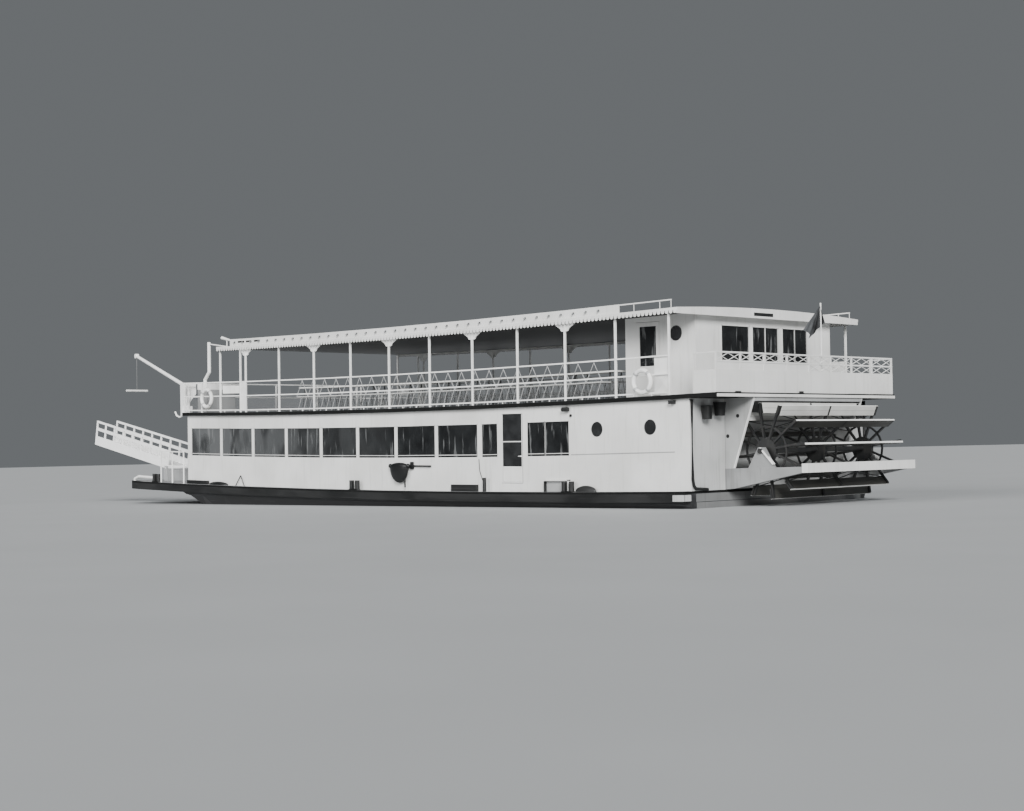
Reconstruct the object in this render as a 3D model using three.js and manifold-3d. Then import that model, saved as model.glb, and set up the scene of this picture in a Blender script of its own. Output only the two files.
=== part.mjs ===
// A two-deck sternwheel passenger boat on a flat-bottomed scow hull.
// Millimetres, +X to the bow, +Y to port, +Z up. The origin is the centre of the hull's flat bottom.

import * as THREE from 'three';
import { mergeVertices } from 'three/addons/utils/BufferGeometryUtils.js';
import Module from 'manifold-3d';

const wasm = await Module();
wasm.setup();

// Driving dimensions
const SEAT = 0.3;                 // gap between touching pieces
const DECK = 1400;                // main deck above the hull bottom, amidships
const DECK_PLATE = 60;
const GUARD_DEPTH = 280;          // dark rubbing strake round the deck edge
const HULL_HALF = 3940;           // half beam of the hull and of the house
const DECK_HALF = 4195;           // half beam over the guards
const BOW = 13100;
const STERN = -12860;
const BOW_PLATE = 250;            // the guard's width ahead of the hull

const SHEER_RISE = 200;           // rise of every deck line, 15 m from its lowest point
const SHEER_RUN = 15000;
const SHEER_LOW_X = -1000;

const BAY = 1829;                 // upper deck post spacing
const FIRST_POST = 6026;
const POST_COUNT = 11;
const PANE_BAY = 1809;            // main deck window spacing
const MULLION = 56;

const FIRST_PANE = 9345;          // the pane grid starts here, aft of the corner post
const FIRST_STILE = 10;           // wall left between the grid's start and its first pane
const HOUSE_FRONT = 9520;
const WALL = 60;
const PAST = 50;                  // how far a cut runs past each face
const SILL = DECK + 985;
const PANE_TOP = DECK + 1940;
const UPPER_UNDER = DECK + 2360;
const UPPER = UPPER_UNDER + 110;
const UPPER_HALF = 4040;
const UPPER_FRONT = 9720;
const UPPER_AFT = -13830;

const ROOF_UNDER = DECK + 4630;
const ROOF_EDGE = ROOF_UNDER + 65;
const ROOF_HALF = 4075;
const ROOF_CAMBER = 110;
const ROOF_FRONT = 7560;
const ROOF_AFT = -12630;

const CABIN_HALF = 3040;
const CABIN_FRONT = -9960;
const CABIN_AFT = -12370;
const CABIN_WALL = 50;

const RAIL_TOP = UPPER + 1020;
const RAIL_MID = UPPER + 550;
const RAIL_LOW = UPPER + 75;
const PORTHOLE = 370;

const WHEEL = { x: -13958, z: 2522, radius: 1244, half: 2255, boards: 12, phase: 69 };
const ARM = { outer: 2480, inner: 2310, top: DECK + 540, aft: -15240, tip: 150, deep: 520 };
const WING = { thick: 60, head: -13780, foot: -13110 };

const looks = {
  white: { color: 0xe4e4e0, roughness: 0.5, metalness: 0 },
  hull: { color: 0x2e3032, roughness: 0.55, metalness: 0.1 },
  guard: { color: 0x232425, roughness: 0.6, metalness: 0 },
  deck: { color: 0x77787a, roughness: 0.8, metalness: 0 },
  edge: { color: 0x2f3030, roughness: 0.6, metalness: 0 },
  steel: { color: 0x3a3b3c, roughness: 0.55, metalness: 0.4 },
  grey: { color: 0xb4b6b6, roughness: 0.6, metalness: 0.1 },
};

// Every deck line sags amidships. The curve is straight between stations two posts apart.
const STATION = 2 * BAY;
const stationX = (k) => FIRST_POST + k * STATION;
const sheerCurve = (x) => SHEER_RISE * ((x - SHEER_LOW_X) / SHEER_RUN) ** 2;

function sheer(x) {
  const k = Math.floor((x - FIRST_POST) / STATION);
  const t = (x - stationX(k)) / STATION;
  return sheerCurve(stationX(k)) * (1 - t) + sheerCurve(stationX(k + 1)) * t;
}

function raise(geometry) {
  const p = geometry.attributes.position;
  for (let i = 0; i < p.count; i++) p.setZ(i, p.getZ(i) + sheer(p.getX(i)));
  return geometry;
}

// Solid modelling helpers
function meshOf(points, faces) {
  const g = new THREE.BufferGeometry();
  g.setAttribute('position', new THREE.Float32BufferAttribute(points.flat(), 3));
  g.setIndex(faces.flat());
  return g;
}

// A closed body through cross-sections [y, z], which keep one number of points from x to x.
function loft(xs, sectionAt) {
  const flat = (ring) => ring.map(([, y, z]) => new THREE.Vector2(y, z));
  const rings = xs.map((x) => sectionAt(x).map(([y, z]) => [x, y, z]));
  if (THREE.ShapeUtils.area(flat(rings[0])) < 0) rings.forEach((ring) => ring.reverse());
  const n = rings[0].length;
  const faces = [];
  for (let k = 0; k + 1 < rings.length; k++) {
    for (let i = 0; i < n; i++) {
      const j = (i + 1) % n;
      const [a, b, c, d] = [k * n + i, k * n + j, (k + 1) * n + j, (k + 1) * n + i];
      faces.push([a, c, b], [a, d, c]);
    }
  }
  const last = (rings.length - 1) * n;
  const first = THREE.ShapeUtils.triangulateShape(flat(rings[0]), []);
  const end = THREE.ShapeUtils.triangulateShape(flat(rings[rings.length - 1]), []);
  for (const [a, b, c] of first) faces.push([a, b, c]);
  for (const [a, b, c] of end) faces.push([last + a, last + c, last + b]);
  const g = meshOf(rings.flat(), faces);
  return volume(g) < 0 ? flip(g) : g;
}

function flip(g) {
  const index = g.getIndex().array;
  for (let i = 0; i < index.length; i += 3) [index[i], index[i + 1]] = [index[i + 1], index[i]];
  return g;
}

function volume(g) {
  const p = g.attributes.position;
  const index = g.getIndex().array;
  const [a, b, c] = [new THREE.Vector3(), new THREE.Vector3(), new THREE.Vector3()];
  let sum = 0;
  for (let i = 0; i < index.length; i += 3) {
    a.fromBufferAttribute(p, index[i]);
    b.fromBufferAttribute(p, index[i + 1]);
    c.fromBufferAttribute(p, index[i + 2]);
    sum += a.dot(b.cross(c));
  }
  return sum / 6;
}

// The places along X where a long piece bends with the sheer, with any of its own.
function stations(x0, x1, own = []) {
  const [low, high] = [Math.min(x0, x1), Math.max(x0, x1)];
  const found = [low, high];
  for (let k = -6; k <= 3; k++) found.push(stationX(k));
  found.push(...own);
  const inside = found.filter((x) => x >= low && x <= high);
  return [...new Set(inside)].sort((p, q) => p - q);
}

// A box from corner to corner, bent with the sheer.
function bar(x0, x1, y0, y1, z0, z1) {
  return raise(loft(stations(x0, x1), () => [[y0, z0], [y1, z0], [y1, z1], [y0, z1]]));
}

// The same box left straight, for moving pieces and what fits them.
function block(x0, x1, y0, y1, z0, z1) {
  return loft([x0, x1], () => [[y0, z0], [y1, z0], [y1, z1], [y0, z1]]);
}

// A round post or pipe between two points, with a taper if the far end has a radius of its own.
function rod(from, to, radius, sides = 8, farRadius = radius) {
  const [a, b] = [new THREE.Vector3(...from), new THREE.Vector3(...to)];
  const g = new THREE.CylinderGeometry(farRadius, radius, a.distanceTo(b), sides, 1);
  const turn = new THREE.Quaternion();
  turn.setFromUnitVectors(new THREE.Vector3(0, 1, 0), b.clone().sub(a).normalize());
  g.applyQuaternion(turn);
  const mid = a.add(b).multiplyScalar(0.5);
  return g.translate(mid.x, mid.y, mid.z);
}

const ball = ([x, y, z], radius) => new THREE.SphereGeometry(radius, 10, 6).translate(x, y, z);

// The radius of a bore whose flats clear a turning pin.
const boreFor = (pin, sides) => (pin + SEAT) / Math.cos(Math.PI / sides);

const post = (x, y, z0, z1, radius, sides = 8) => raise(rod([x, y, z0], [x, y, z1], radius, sides));

// A plate with an outline in XZ, standing from y0 to y1.
function plateXZ(outline, y0, y1) {
  const shape = new THREE.Shape(outline.map(([x, z]) => new THREE.Vector2(x, z)));
  const g = new THREE.ExtrudeGeometry(shape, { depth: Math.abs(y1 - y0), bevelEnabled: false });
  g.rotateX(Math.PI / 2);
  return g.translate(0, Math.max(y0, y1), 0);
}

// A ring about the Y axis at the origin.
function ringY(outer, inner, y0, y1, sides) {
  const profile = [[inner, y0], [outer, y0], [outer, y1], [inner, y1], [inner, y0]];
  return new THREE.LatheGeometry(profile.map(([r, y]) => new THREE.Vector2(r, y)), sides);
}

// Manifold joins and cuts
function solid(geometry) {
  const bare = geometry.clone();
  bare.deleteAttribute('normal');
  bare.deleteAttribute('uv');
  const g = mergeVertices(bare, 1e-3);
  return new wasm.Manifold(new wasm.Mesh({
    numProp: 3,
    vertProperties: Float32Array.from(g.attributes.position.array),
    triVerts: Uint32Array.from(g.getIndex().array),
  }));
}

function geometryOf(body) {
  const mesh = body.getMesh();
  const g = new THREE.BufferGeometry();
  g.setAttribute('position', new THREE.BufferAttribute(Float32Array.from(mesh.vertProperties), 3));
  g.setIndex([...mesh.triVerts]);
  return g;
}

function unite(bodies) {
  let list = bodies;
  while (list.length > 1) {
    const next = [];
    for (let i = 0; i < list.length; i += 2) {
      next.push(i + 1 < list.length ? list[i].add(list[i + 1]) : list[i]);
    }
    list = next;
  }
  return list[0];
}

const join = (...parts) => geometryOf(unite(parts.flat().map(solid)));
const cut = (base, ...tools) => geometryOf(solid(base).subtract(unite(tools.flat().map(solid))));

const boat = new THREE.Group();

function add(name, geometry, look, parent = boat) {
  const mesh = new THREE.Mesh(geometry, new THREE.MeshStandardMaterial(looks[look]));
  mesh.name = name;
  parent.add(mesh);
  return mesh;
}

const SIDES = [['port', 1], ['starboard', -1]];
const mirror = (g, side) => (side > 0 ? g : flip(indexed(g.clone().scale(1, -1, 1))));

function indexed(g) {
  if (g.getIndex()) return g;
  g.deleteAttribute('normal');
  g.deleteAttribute('uv');
  return mergeVertices(g, 1e-3);
}

// Hull: columns are x, half beam at the deck, half beam at the chine, bottom height
const HULL_LINES = [
  [STERN, HULL_HALF, 3800, 860],
  [-10800, HULL_HALF, 3780, 420],
  [-8700, HULL_HALF, 3760, 0],
  [5400, HULL_HALF, 3760, 0],
  [7400, HULL_HALF, 3750, 330],
  [8700, HULL_HALF, 3740, 700],
  [9500, HULL_HALF, 3730, 1050],
  [9900, HULL_HALF, 3720, 1225],
  [11700, 3840, 3700, 1235],
  [BOW - BOW_PLATE, 3700, 3600, 1260],
];

const SHOULDER = 300;             // depth of the hull's upright band below the deck

function between(table, x, column) {
  let i = table.findIndex((row) => row[0] >= x);
  if (i < 1) i = i < 0 ? table.length - 1 : 1;
  const [a, b] = [table[i - 1], table[i]];
  const t = (x - a[0]) / (b[0] - a[0]);
  return a[column] * (1 - t) + b[column] * t;
}

// The deck edge runs parallel to a square bow with eased corners: columns are x, half beam
const DECK_EDGE = [[STERN, DECK_HALF], [12300, DECK_HALF], [12850, 4120], [BOW, 3950]];

function deckSlab(xs, half, z0, z1) {
  return raise(loft(xs, (x) => [[-half(x), z0], [half(x), z0], [half(x), z1], [-half(x), z1]]));
}

function buildHull() {
  const xs = stations(STERN, BOW - BOW_PLATE, HULL_LINES.map((row) => row[0]));
  const top = DECK - DECK_PLATE - SEAT;
  const hull = loft(xs, (x) => {
    const [deckHalf, chine, keel] = [1, 2, 3].map((c) => between(HULL_LINES, x, c));
    const edge = top + sheer(x);
    const shoulder = Math.max(edge - SHOULDER, keel + 5);
    return [[-chine, keel], [chine, keel], [deckHalf, shoulder], [deckHalf, edge], [-deckHalf, edge],
      [-deckHalf, shoulder]];
  });
  add('hull', hull, 'hull');
}

const deckHalf = (x) => between(DECK_EDGE, x, 1);

// Bollards stand in pairs on the guard: columns are x and side
const BOLLARDS = [[300, 1], [-8730, 1], [300, -1], [-8730, -1], [11300, 1], [11300, -1]];
const BOLLARD = { y: 4080, radius: 55, high: 250, spacing: 200, sunk: 10 };
const BOLLARD_FOOT = { half: 190, deep: 80, thick: 25 };

function bollardPair(x, side) {
  const y = side * BOLLARD.y;
  const z = DECK - BOLLARD.sunk;
  const pair = [-0.5, 0.5].map((k) => (
    post(x + k * BOLLARD.spacing, y, z, DECK + BOLLARD.high, BOLLARD.radius)));
  const { half, deep, thick } = BOLLARD_FOOT;
  const plate = bar(x - half, x + half, y - deep, y + deep, z, DECK + thick);
  return [...pair, plate];
}

function buildMainDeck() {
  const xs = stations(STERN, BOW, DECK_EDGE.map((row) => row[0]));
  const slab = deckSlab(xs, deckHalf, DECK - DECK_PLATE, DECK);
  add('main_deck', join(slab, ...BOLLARDS.map(([x, side]) => bollardPair(x, side)).flat()), 'deck');
  const z0 = DECK - GUARD_DEPTH;
  const z1 = DECK - DECK_PLATE - SEAT;
  const outer = deckSlab(xs, deckHalf, z0, z1);
  const hullXs = stations(STERN - 200, BOW - BOW_PLATE + SEAT, HULL_LINES.map((row) => row[0]));
  const hullHalf = (x) => between(HULL_LINES, Math.max(x, STERN), 1) + SEAT;
  const inner = deckSlab(hullXs, hullHalf, z0 - 60, z1 + 60);
  add('guard_strake', cut(outer, inner), 'guard');
}

// Foredeck: a rail at each deck edge ahead of the house, and a bent pipe at each bow corner
const FORE_RAIL = { aft: 9640, fore: 11050, y: 4050, top: DECK + 1100, mid: DECK + 600 };
const TOE_RAIL = { y: 3880, radius: 50, foot: [13030, DECK], bend: [12750, DECK + 150], aft: 11750 };

function buildForedeck() {
  for (const [name, side] of SIDES) {
    const { aft, fore, y, top, mid } = FORE_RAIL;
    const rails = [top, mid].map((z) => bar(aft, fore, y - RAIL, y + RAIL, z - RAIL, z + RAIL));
    const posts = [aft, (aft + fore) / 2, fore].map((x) => post(x, y, DECK + SEAT, top, POST_HALF));
    add(`foredeck_rail_${name}`, mirror(join(rails, posts), side), 'white');
    const { foot, bend, radius } = TOE_RAIL;
    const [a, b, c] = [[foot[0], foot[1] + radius + 10], bend, [TOE_RAIL.aft, bend[1] - 20]].map(([x, z]) => (
      [x, TOE_RAIL.y, z + sheer(x)]));
    const pipes = [rod(a, b, radius), rod(b, c, radius), ball(a, radius), ball(b, radius), ball(c, radius)];
    for (const [x, , z] of [a, c]) {
      pipes.push(rod([x, TOE_RAIL.y, DECK + SEAT + sheer(x + radius)], [x, TOE_RAIL.y, z], radius - 2));
    }
    add(`bow_toe_rail_${name}`, mirror(join(pipes), side), 'white');
  }
}

// Main house windows: columns are x of the after edge and x of the forward edge
function paneTable() {
  const panes = [];
  for (let i = 0; i < 8; i++) {
    const fore = FIRST_PANE - i * PANE_BAY;
    panes.push([fore - PANE_BAY + MULLION / 2, fore - (i ? MULLION / 2 : FIRST_STILE)]);
  }
  panes.push([-5900, -5230], [-7730, -7060], [-8670, -7770]);
  return panes;
}
const SIDE_PORTHOLES = [-9690, -11550];
const SIDE_PORTHOLE_Z = DECK + 1670;
const SIDE_DOOR = { aft: -6890, fore: -6060, foot: 240, head: 2190 };

function portholeCutter(x, y0, y1, z) {
  return raise(rod([x, y0 - PAST, z], [x, y1 + PAST, z], PORTHOLE / 2, 16));
}

function buildSideWalls() {
  for (const [name, side] of SIDES) {
    const [y0, y1] = [HULL_HALF - WALL, HULL_HALF];
    const wall = bar(STERN, HOUSE_FRONT, y0, y1, DECK + SEAT, UPPER_UNDER - SEAT);
    const tools = paneTable().map(([aft, fore]) => bar(aft, fore, y0 - PAST, y1 + PAST, SILL, PANE_TOP));
    for (const x of SIDE_PORTHOLES) tools.push(portholeCutter(x, y0, y1, SIDE_PORTHOLE_Z));
    const lift = DECK + sheer(SIDE_DOOR.fore);
    const { aft, fore, foot, head } = SIDE_DOOR;
    tools.push(block(aft, fore, y0 - PAST, y1 + PAST, lift + foot, lift + head));
    add(`house_wall_${name}`, mirror(cut(wall, ...tools), side), 'white');
  }
}

const FRONT_DOOR = { half: 460, foot: 60, head: 2100 };
const FRONT_PANES = [[-3500, -2000], [-1800, -900], [900, 1800], [2000, 3500]];

function buildForwardWall() {
  const x = HOUSE_FRONT;
  const half = HULL_HALF - WALL - SEAT;
  const wall = bar(x - WALL, x, -half, half, DECK + SEAT, UPPER_UNDER - SEAT);
  const tools = FRONT_PANES.map(([y0, y1]) => bar(x - WALL - PAST, x + PAST, y0, y1, SILL, PANE_TOP));
  const lift = DECK + sheer(x);
  const { half: doorHalf, foot, head } = FRONT_DOOR;
  tools.push(block(x - WALL - PAST, x + PAST, -doorHalf, doorHalf, lift + foot, lift + head));
  add('house_wall_forward', cut(wall, ...tools), 'white');
}

// The after wall steps forward between the wing plates, to clear the wheel.
const RECESS_X = -12420;
const RECESS_HALF = 2510;

function buildAftWall() {
  const [z0, z1] = [DECK + SEAT, UPPER_UNDER - SEAT];
  const half = HULL_HALF - WALL - SEAT;
  const quarters = [1, -1].map((s) => bar(STERN, STERN + WALL, s * RECESS_HALF, s * half, z0, z1));
  const cheeks = [1, -1].map((s) => (
    bar(STERN, RECESS_X + WALL, s * RECESS_HALF, s * (RECESS_HALF + WALL), z0, z1)));
  const back = bar(RECESS_X, RECESS_X + WALL, -RECESS_HALF - WALL, RECESS_HALF + WALL, z0, z1);
  add('house_wall_aft', join(quarters, cheeks, back), 'white');
}

// Wing plates carry the upper deck over the wheel and slope forward to the arms.
function buildWingPlates() {
  const outline = [[RECESS_X - SEAT, UPPER_UNDER - SEAT], [WING.head, UPPER_UNDER - SEAT],
    [WING.foot, ARM.top + SEAT], [RECESS_X - SEAT, ARM.top + SEAT]];
  for (const [name, side] of SIDES) {
    const plate = raise(indexed(plateXZ(outline, ARM.outer - WING.thick, ARM.outer)));
    add(`wing_plate_${name}`, mirror(plate, side), 'grey');
  }
}

const PEDESTAL = { foot: 400, head: 85, above: 90, inset: 30 };
const CROSS_BEAM = { thick: 180, above: 80 };

function buildStern() {
  const foot = ARM.top - ARM.deep;
  const heel = foot - 18;
  const outline = [[RECESS_X - SEAT, ARM.top], [ARM.aft, ARM.top], [ARM.aft, ARM.top - ARM.tip],
    [WING.foot - 30, foot], [STERN - 20, heel], [RECESS_X - SEAT, heel]];
  for (const [name, side] of SIDES) {
    const arm = raise(indexed(plateXZ(outline, ARM.inner, ARM.outer)));
    add(`stern_arm_${name}`, mirror(arm, side), 'grey');
    const [y0, y1] = [ARM.inner + PEDESTAL.inset, ARM.outer - PEDESTAL.inset];
    const apex = WHEEL.z + PEDESTAL.above;
    const [aft, fore] = [WHEEL.x - PEDESTAL.foot, WHEEL.x + PEDESTAL.foot];
    const seat = (x) => [x, ARM.top + SEAT + sheer(x)];
    const frame = plateXZ([seat(aft), [WHEEL.x - PEDESTAL.head, apex], [WHEEL.x + PEDESTAL.head, apex],
      seat(fore)], y0, y1);
    const bore = rod([WHEEL.x, y0 - PAST, WHEEL.z], [WHEEL.x, y1 + PAST, WHEEL.z], boreFor(SHAFT, 24), 24);
    add(`shaft_bearing_${name}`, mirror(cut(frame, bore), side), 'steel');
  }
  const back = ARM.aft - SEAT;
  const { thick, above } = CROSS_BEAM;
  add('cross_beam', bar(back - thick, back, -ARM.outer, ARM.outer, ARM.top - ARM.tip, ARM.top + above), 'white');
}

// Paddle wheel: three spoked frames on one shaft carry the boards.
const SHAFT = 70;
const FRAME_Y = [-2190, 0, 2190];
const HUB = { radius: 320, half: 45 };
const SPOKE = { wide: 50, thick: 76 };
const RING = { outer: 650, inner: 600 };
const BOARD = { deep: 270, thick: 40 };
const BRACE = 14;                 // radius of the crossed braces between the frames

function buildWheel() {
  const { radius, half, boards, phase } = WHEEL;
  const parts = [rod([0, -ARM.outer - 20, 0], [0, ARM.outer + 20, 0], SHAFT, 16)];
  for (const y of FRAME_Y) {
    const [y0, y1] = [y - SPOKE.thick / 2, y + SPOKE.thick / 2];
    parts.push(rod([0, y - HUB.half, 0], [0, y + HUB.half, 0], HUB.radius, 20));
    parts.push(ringY(RING.outer, RING.inner, y0 + 20, y1 - 20, 24));
  }
  for (let k = 0; k < boards; k++) {
    const turn = THREE.MathUtils.degToRad(phase - (360 / boards) * k);
    const place = (g) => g.rotateY(turn - Math.PI / 2);
    const out = radius - BOARD.deep;
    parts.push(place(block(-BOARD.thick, 0, -half, half, out, radius)));
    for (const y of FRAME_Y) {
      const [y0, y1] = [y - SPOKE.thick / 2, y + SPOKE.thick / 2];
      parts.push(place(block(-5, SPOKE.wide - 5, y0, y1, 60, radius - 20)));
    }
    if (k % 2) continue;
    for (const [near, far] of [[0, 1], [1, 2]]) {
      const [lower, upper] = [[0, FRAME_Y[near], RING.inner], [0, FRAME_Y[far], out + 20]];
      parts.push(place(rod(lower, upper, BRACE, 6)));
      parts.push(place(rod([0, lower[1], upper[2]], [0, upper[1], lower[2]], BRACE, 6)));
    }
  }
  const wheel = new THREE.Group();
  wheel.position.set(WHEEL.x, 0, WHEEL.z);
  boat.add(wheel);
  add('paddle_wheel', join(parts), 'steel', wheel);
}

// Rudders hang under the raked stern, ahead of the wheel.
const RUDDER = { x: -11750, y: 1350, foot: 70, head: 400, fore: 330, aft: 780, thick: 50, stock: 45 };

function buildRudders() {
  for (const [name, side] of SIDES) {
    const top = between(HULL_LINES, RUDDER.x + RUDDER.stock, 3);
    const half = RUDDER.thick / 2;
    const blade = block(-RUDDER.aft, RUDDER.fore, -half, half, RUDDER.foot, RUDDER.head);
    const stock = rod([0, 0, RUDDER.head - 60], [0, 0, top - SEAT], RUDDER.stock, 16);
    const group = new THREE.Group();
    group.position.set(RUDDER.x, side * RUDDER.y, 0);
    boat.add(group);
    add(`rudder_${name}`, join(blade, stock), 'steel', group);
  }
}

// Upper deck in four plates, laid round the stairwell
const STAIR = { fore: -5700, top: -8700, y0: -3650, y1: -2750, steps: 11 };
const WELL = { fore: -6300, aft: -8700, y0: -3700, y1: -2700 };
const BALCONY_BEAM = { inset: 30, thick: 80, deep: 100 };
const RAIL_INSET = 60;            // the upper rails stop short of the deck's fore edge

function buildUpperDeck() {
  const plates = [
    // place, x of both ends, y of both sides
    ['fore', WELL.fore, UPPER_FRONT, -UPPER_HALF, UPPER_HALF],
    ['port', WELL.aft + SEAT, WELL.fore - SEAT, WELL.y1, UPPER_HALF],
    ['starboard', WELL.aft + SEAT, WELL.fore - SEAT, -UPPER_HALF, WELL.y0],
    ['aft', UPPER_AFT, WELL.aft, -UPPER_HALF, UPPER_HALF],
  ];
  for (const [place, x0, x1, y0, y1] of plates) {
    add(`upper_deck_${place}`, bar(x0, x1, y0, y1, UPPER_UNDER, UPPER), 'edge');
  }
  const { inset, thick, deep } = BALCONY_BEAM;
  const [back, half] = [UPPER_AFT + inset, ARM.outer - WING.thick - SEAT];
  add('balcony_beam', bar(back, back + thick, -half, half, UPPER_UNDER - deep, UPPER_UNDER - SEAT), 'white');
}

function buildStair() {
  const { fore, top, y0, y1, steps } = STAIR;
  const rise = (UPPER - 20 - DECK) / steps;
  const run = (fore - top) / steps;
  const parts = [];
  for (let k = 1; k < steps; k++) {
    const x = fore - k * run;
    parts.push(bar(x, x + run + 20, y0, y1, DECK + k * rise - 40, DECK + k * rise));
  }
  const foot = DECK + SEAT;
  for (const y of [y0, y1 - 40]) {
    const string = plateXZ([[fore + 60, foot], [fore - 300, foot], [top + 30 + run, UPPER - rise - 240],
      [top + 30, UPPER - rise + 60], [top + 230, UPPER - rise + 60]], y, y + 40);
    parts.push(raise(indexed(string)));
  }
  add('stair', join(parts), 'grey');
}

// Upper deck sides: posts and rails in one frame
const POST_Y = 3985;
const POST_HALF = 25;             // half the width of a square post
const RAIL = 18;                  // half the width of a rail's square section
const PILOT_X = 7480;
const postXs = Array.from({ length: POST_COUNT }, (_, i) => FIRST_POST - i * BAY);

const upright = (x, top, y = POST_Y) => (
  bar(x - POST_HALF, x + POST_HALF, y - POST_HALF, y + POST_HALF, UPPER + SEAT, top));

function railing(x0, x1, y, heights) {
  return heights.map((z) => bar(x0, x1, y - RAIL, y + RAIL, z - RAIL, z + RAIL));
}

// A knee curves out from every second post to the beam above it, but not from the last.
const KNEE = { reach: 360, drop: 270, thick: 24 };
// Its edge, as shares of the reach and of the drop
const KNEE_EDGE = [[0, 0], [0, 1], [0.25, 1], [0.36, 0.94], [0.45, 0.72], [0.66, 0.55], [0.9, 0.4], [1, 0]];
const PANEL_X = 6325;             // after post of the panel beside the helm
const STANCHION_X = 8580;         // rail post beside the fore lifebuoy

function knee(x, way) {
  const z = ROOF_UNDER - SEAT;
  const outline = KNEE_EDGE.map(([out, down]) => [x + way * KNEE.reach * out, z - KNEE.drop * down]);
  const half = KNEE.thick / 2;
  return raise(indexed(plateXZ(outline, POST_Y - half, POST_Y + half)));
}

function buildColonnades() {
  const [aft, fore] = [postXs[POST_COUNT - 1], UPPER_FRONT - RAIL_INSET];
  for (const [name, side] of SIDES) {
    const parts = railing(aft, fore, POST_Y, [RAIL_TOP, RAIL_MID, RAIL_LOW]);
    for (const x of [PILOT_X, ...postXs]) parts.push(upright(x, ROOF_UNDER - SEAT));
    for (const x of [STANCHION_X, fore - POST_HALF]) parts.push(upright(x, RAIL_TOP));
    const kneed = postXs.filter((_, i) => i % 2 === 0 && i < POST_COUNT - 1);
    for (const x of kneed) parts.push(knee(x, 1), knee(x, -1));
    parts.push(upright(PANEL_X, ROOF_UNDER - SEAT));
    parts.push(bar(FIRST_POST, PANEL_X, POST_Y - 12, POST_Y + 12, RAIL_LOW, RAIL_TOP));
    const third = BAY / 3;
    for (let k = -3; k < 3 * (POST_COUNT - 1); k++) {
      const x = FIRST_POST - k * third;
      if (k % 3) parts.push(bar(x - 12, x + 12, POST_Y - 12, POST_Y + 12, UPPER + SEAT, RAIL_LOW));
    }
    parts.push(bar(aft - 60, ROOF_FRONT - 80, POST_Y - 32, POST_Y + 32, ROOF_UNDER - 80, ROOF_UNDER - SEAT));
    add(`colonnade_${name}`, mirror(join(parts), side), 'white');
  }
}

function buildBowRail() {
  const x = UPPER_FRONT - RAIL_INSET;
  const end = POST_Y - POST_HALF - SEAT;
  const parts = [RAIL_TOP, RAIL_MID, RAIL_LOW].map((z) => (
    bar(x - RAIL, x + RAIL, -end, end, z - RAIL, z + RAIL)));
  for (let k = 0; k <= 4; k++) parts.push(upright(x, RAIL_TOP + RAIL + 2, -3800 + k * 1900));
  add('bow_rail', join(parts), 'white');
}

// Balustrade across the stern, with returns along both sides
const PARAPET = { x: -13790, thick: 40, panel: UPPER + 580, top: UPPER + 1030, side: -13050 };

function buildParapet() {
  const { x, thick, panel, top, side } = PARAPET;
  const half = UPPER_HALF - 20;
  const mid = (panel + top) / 2;
  const foot = UPPER + SEAT;
  const parts = [bar(x, x + thick, -half, half, foot, panel)];
  for (const z of [mid, top]) parts.push(bar(x, x + thick, -half, half, z - 40, z));
  for (let k = 0; k <= 8; k++) {
    const y = -half + 30 + k * (2 * half - 60) / 8;
    parts.push(bar(x + 3, x + thick - 3, y - 27, y + 27, panel - 10, top - 10));
  }
  for (const s of [1, -1]) {
    const [y0, y1] = [s * (half - thick + 3), s * (half - 3)];
    parts.push(bar(x + 6, side, y0, y1, foot, panel - 3));
    parts.push(bar(x + 6, side - 20, y0, y1, top - 37, top - 3));
    parts.push(bar(side - 40, side + 3, y0 + s * 2, y1 - s * 2, foot, top - 6));
  }
  add('stern_balustrade', join(parts), 'white');
}

// Roof with camber
const ROOF_FACET = ROOF_HALF / 4;
const camber = (k) => ROOF_EDGE + ROOF_CAMBER * (1 - (k / 4) ** 2);

function roofTop(y) {
  const k = Math.min(Math.floor(Math.abs(y) / ROOF_FACET), 3);
  const t = Math.abs(y) / ROOF_FACET - k;
  return camber(k) * (1 - t) + camber(k + 1) * t;
}

function buildRoof() {
  const points = [];
  for (let k = -4; k <= 4; k++) points.push([k * ROOF_FACET, camber(k)]);
  const section = [[ROOF_HALF, ROOF_UNDER], [-ROOF_HALF, ROOF_UNDER], ...points];
  const shell = raise(loft(stations(ROOF_AFT, ROOF_FRONT), () => section));
  const fascia = bar(ROOF_AFT, ROOF_AFT + 40, -ROOF_HALF, ROOF_HALF, ROOF_UNDER - 90, ROOF_EDGE);
  add('roof', join(shell, fascia), 'white');
}

// Scalloped valance along both roof edges
const SCALLOP = { length: 135, drop: 45, thick: 18, steps: 2 };

function buildValances() {
  const count = Math.round((ROOF_FRONT - ROOF_AFT) / SCALLOP.length);
  const step = (ROOF_FRONT - ROOF_AFT) / (count * SCALLOP.steps);
  const xs = Array.from({ length: count * SCALLOP.steps + 1 }, (_, i) => ROOF_AFT + i * step);
  const hang = (x) => {
    const t = ((x - ROOF_AFT) / (step * SCALLOP.steps)) % 1;
    return SCALLOP.drop * Math.sin(Math.PI * t);
  };
  for (const [name, side] of SIDES) {
    const [y0, y1] = [ROOF_HALF + SEAT, ROOF_HALF + SEAT + SCALLOP.thick];
    const strip = raise(loft(xs, (x) => {
      const foot = ROOF_UNDER - Math.abs(hang(x));
      return [[y0, foot], [y1, foot], [y1, ROOF_EDGE], [y0, ROOF_EDGE]];
    }));
    add(`valance_${name}`, mirror(strip, side), 'white');
  }
}

// A board stands along each roof edge, and a low pipe rail goes on aft of it.
const ROOF_BOARD = { aft: -10620, fore: 6840, inset: 60, thick: 20, high: 230 };
const ROOF_PIPE = { aft: -12400, lap: 10, deep: 35, radius: 10, posts: [-11130, -12010, -12385] };

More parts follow.
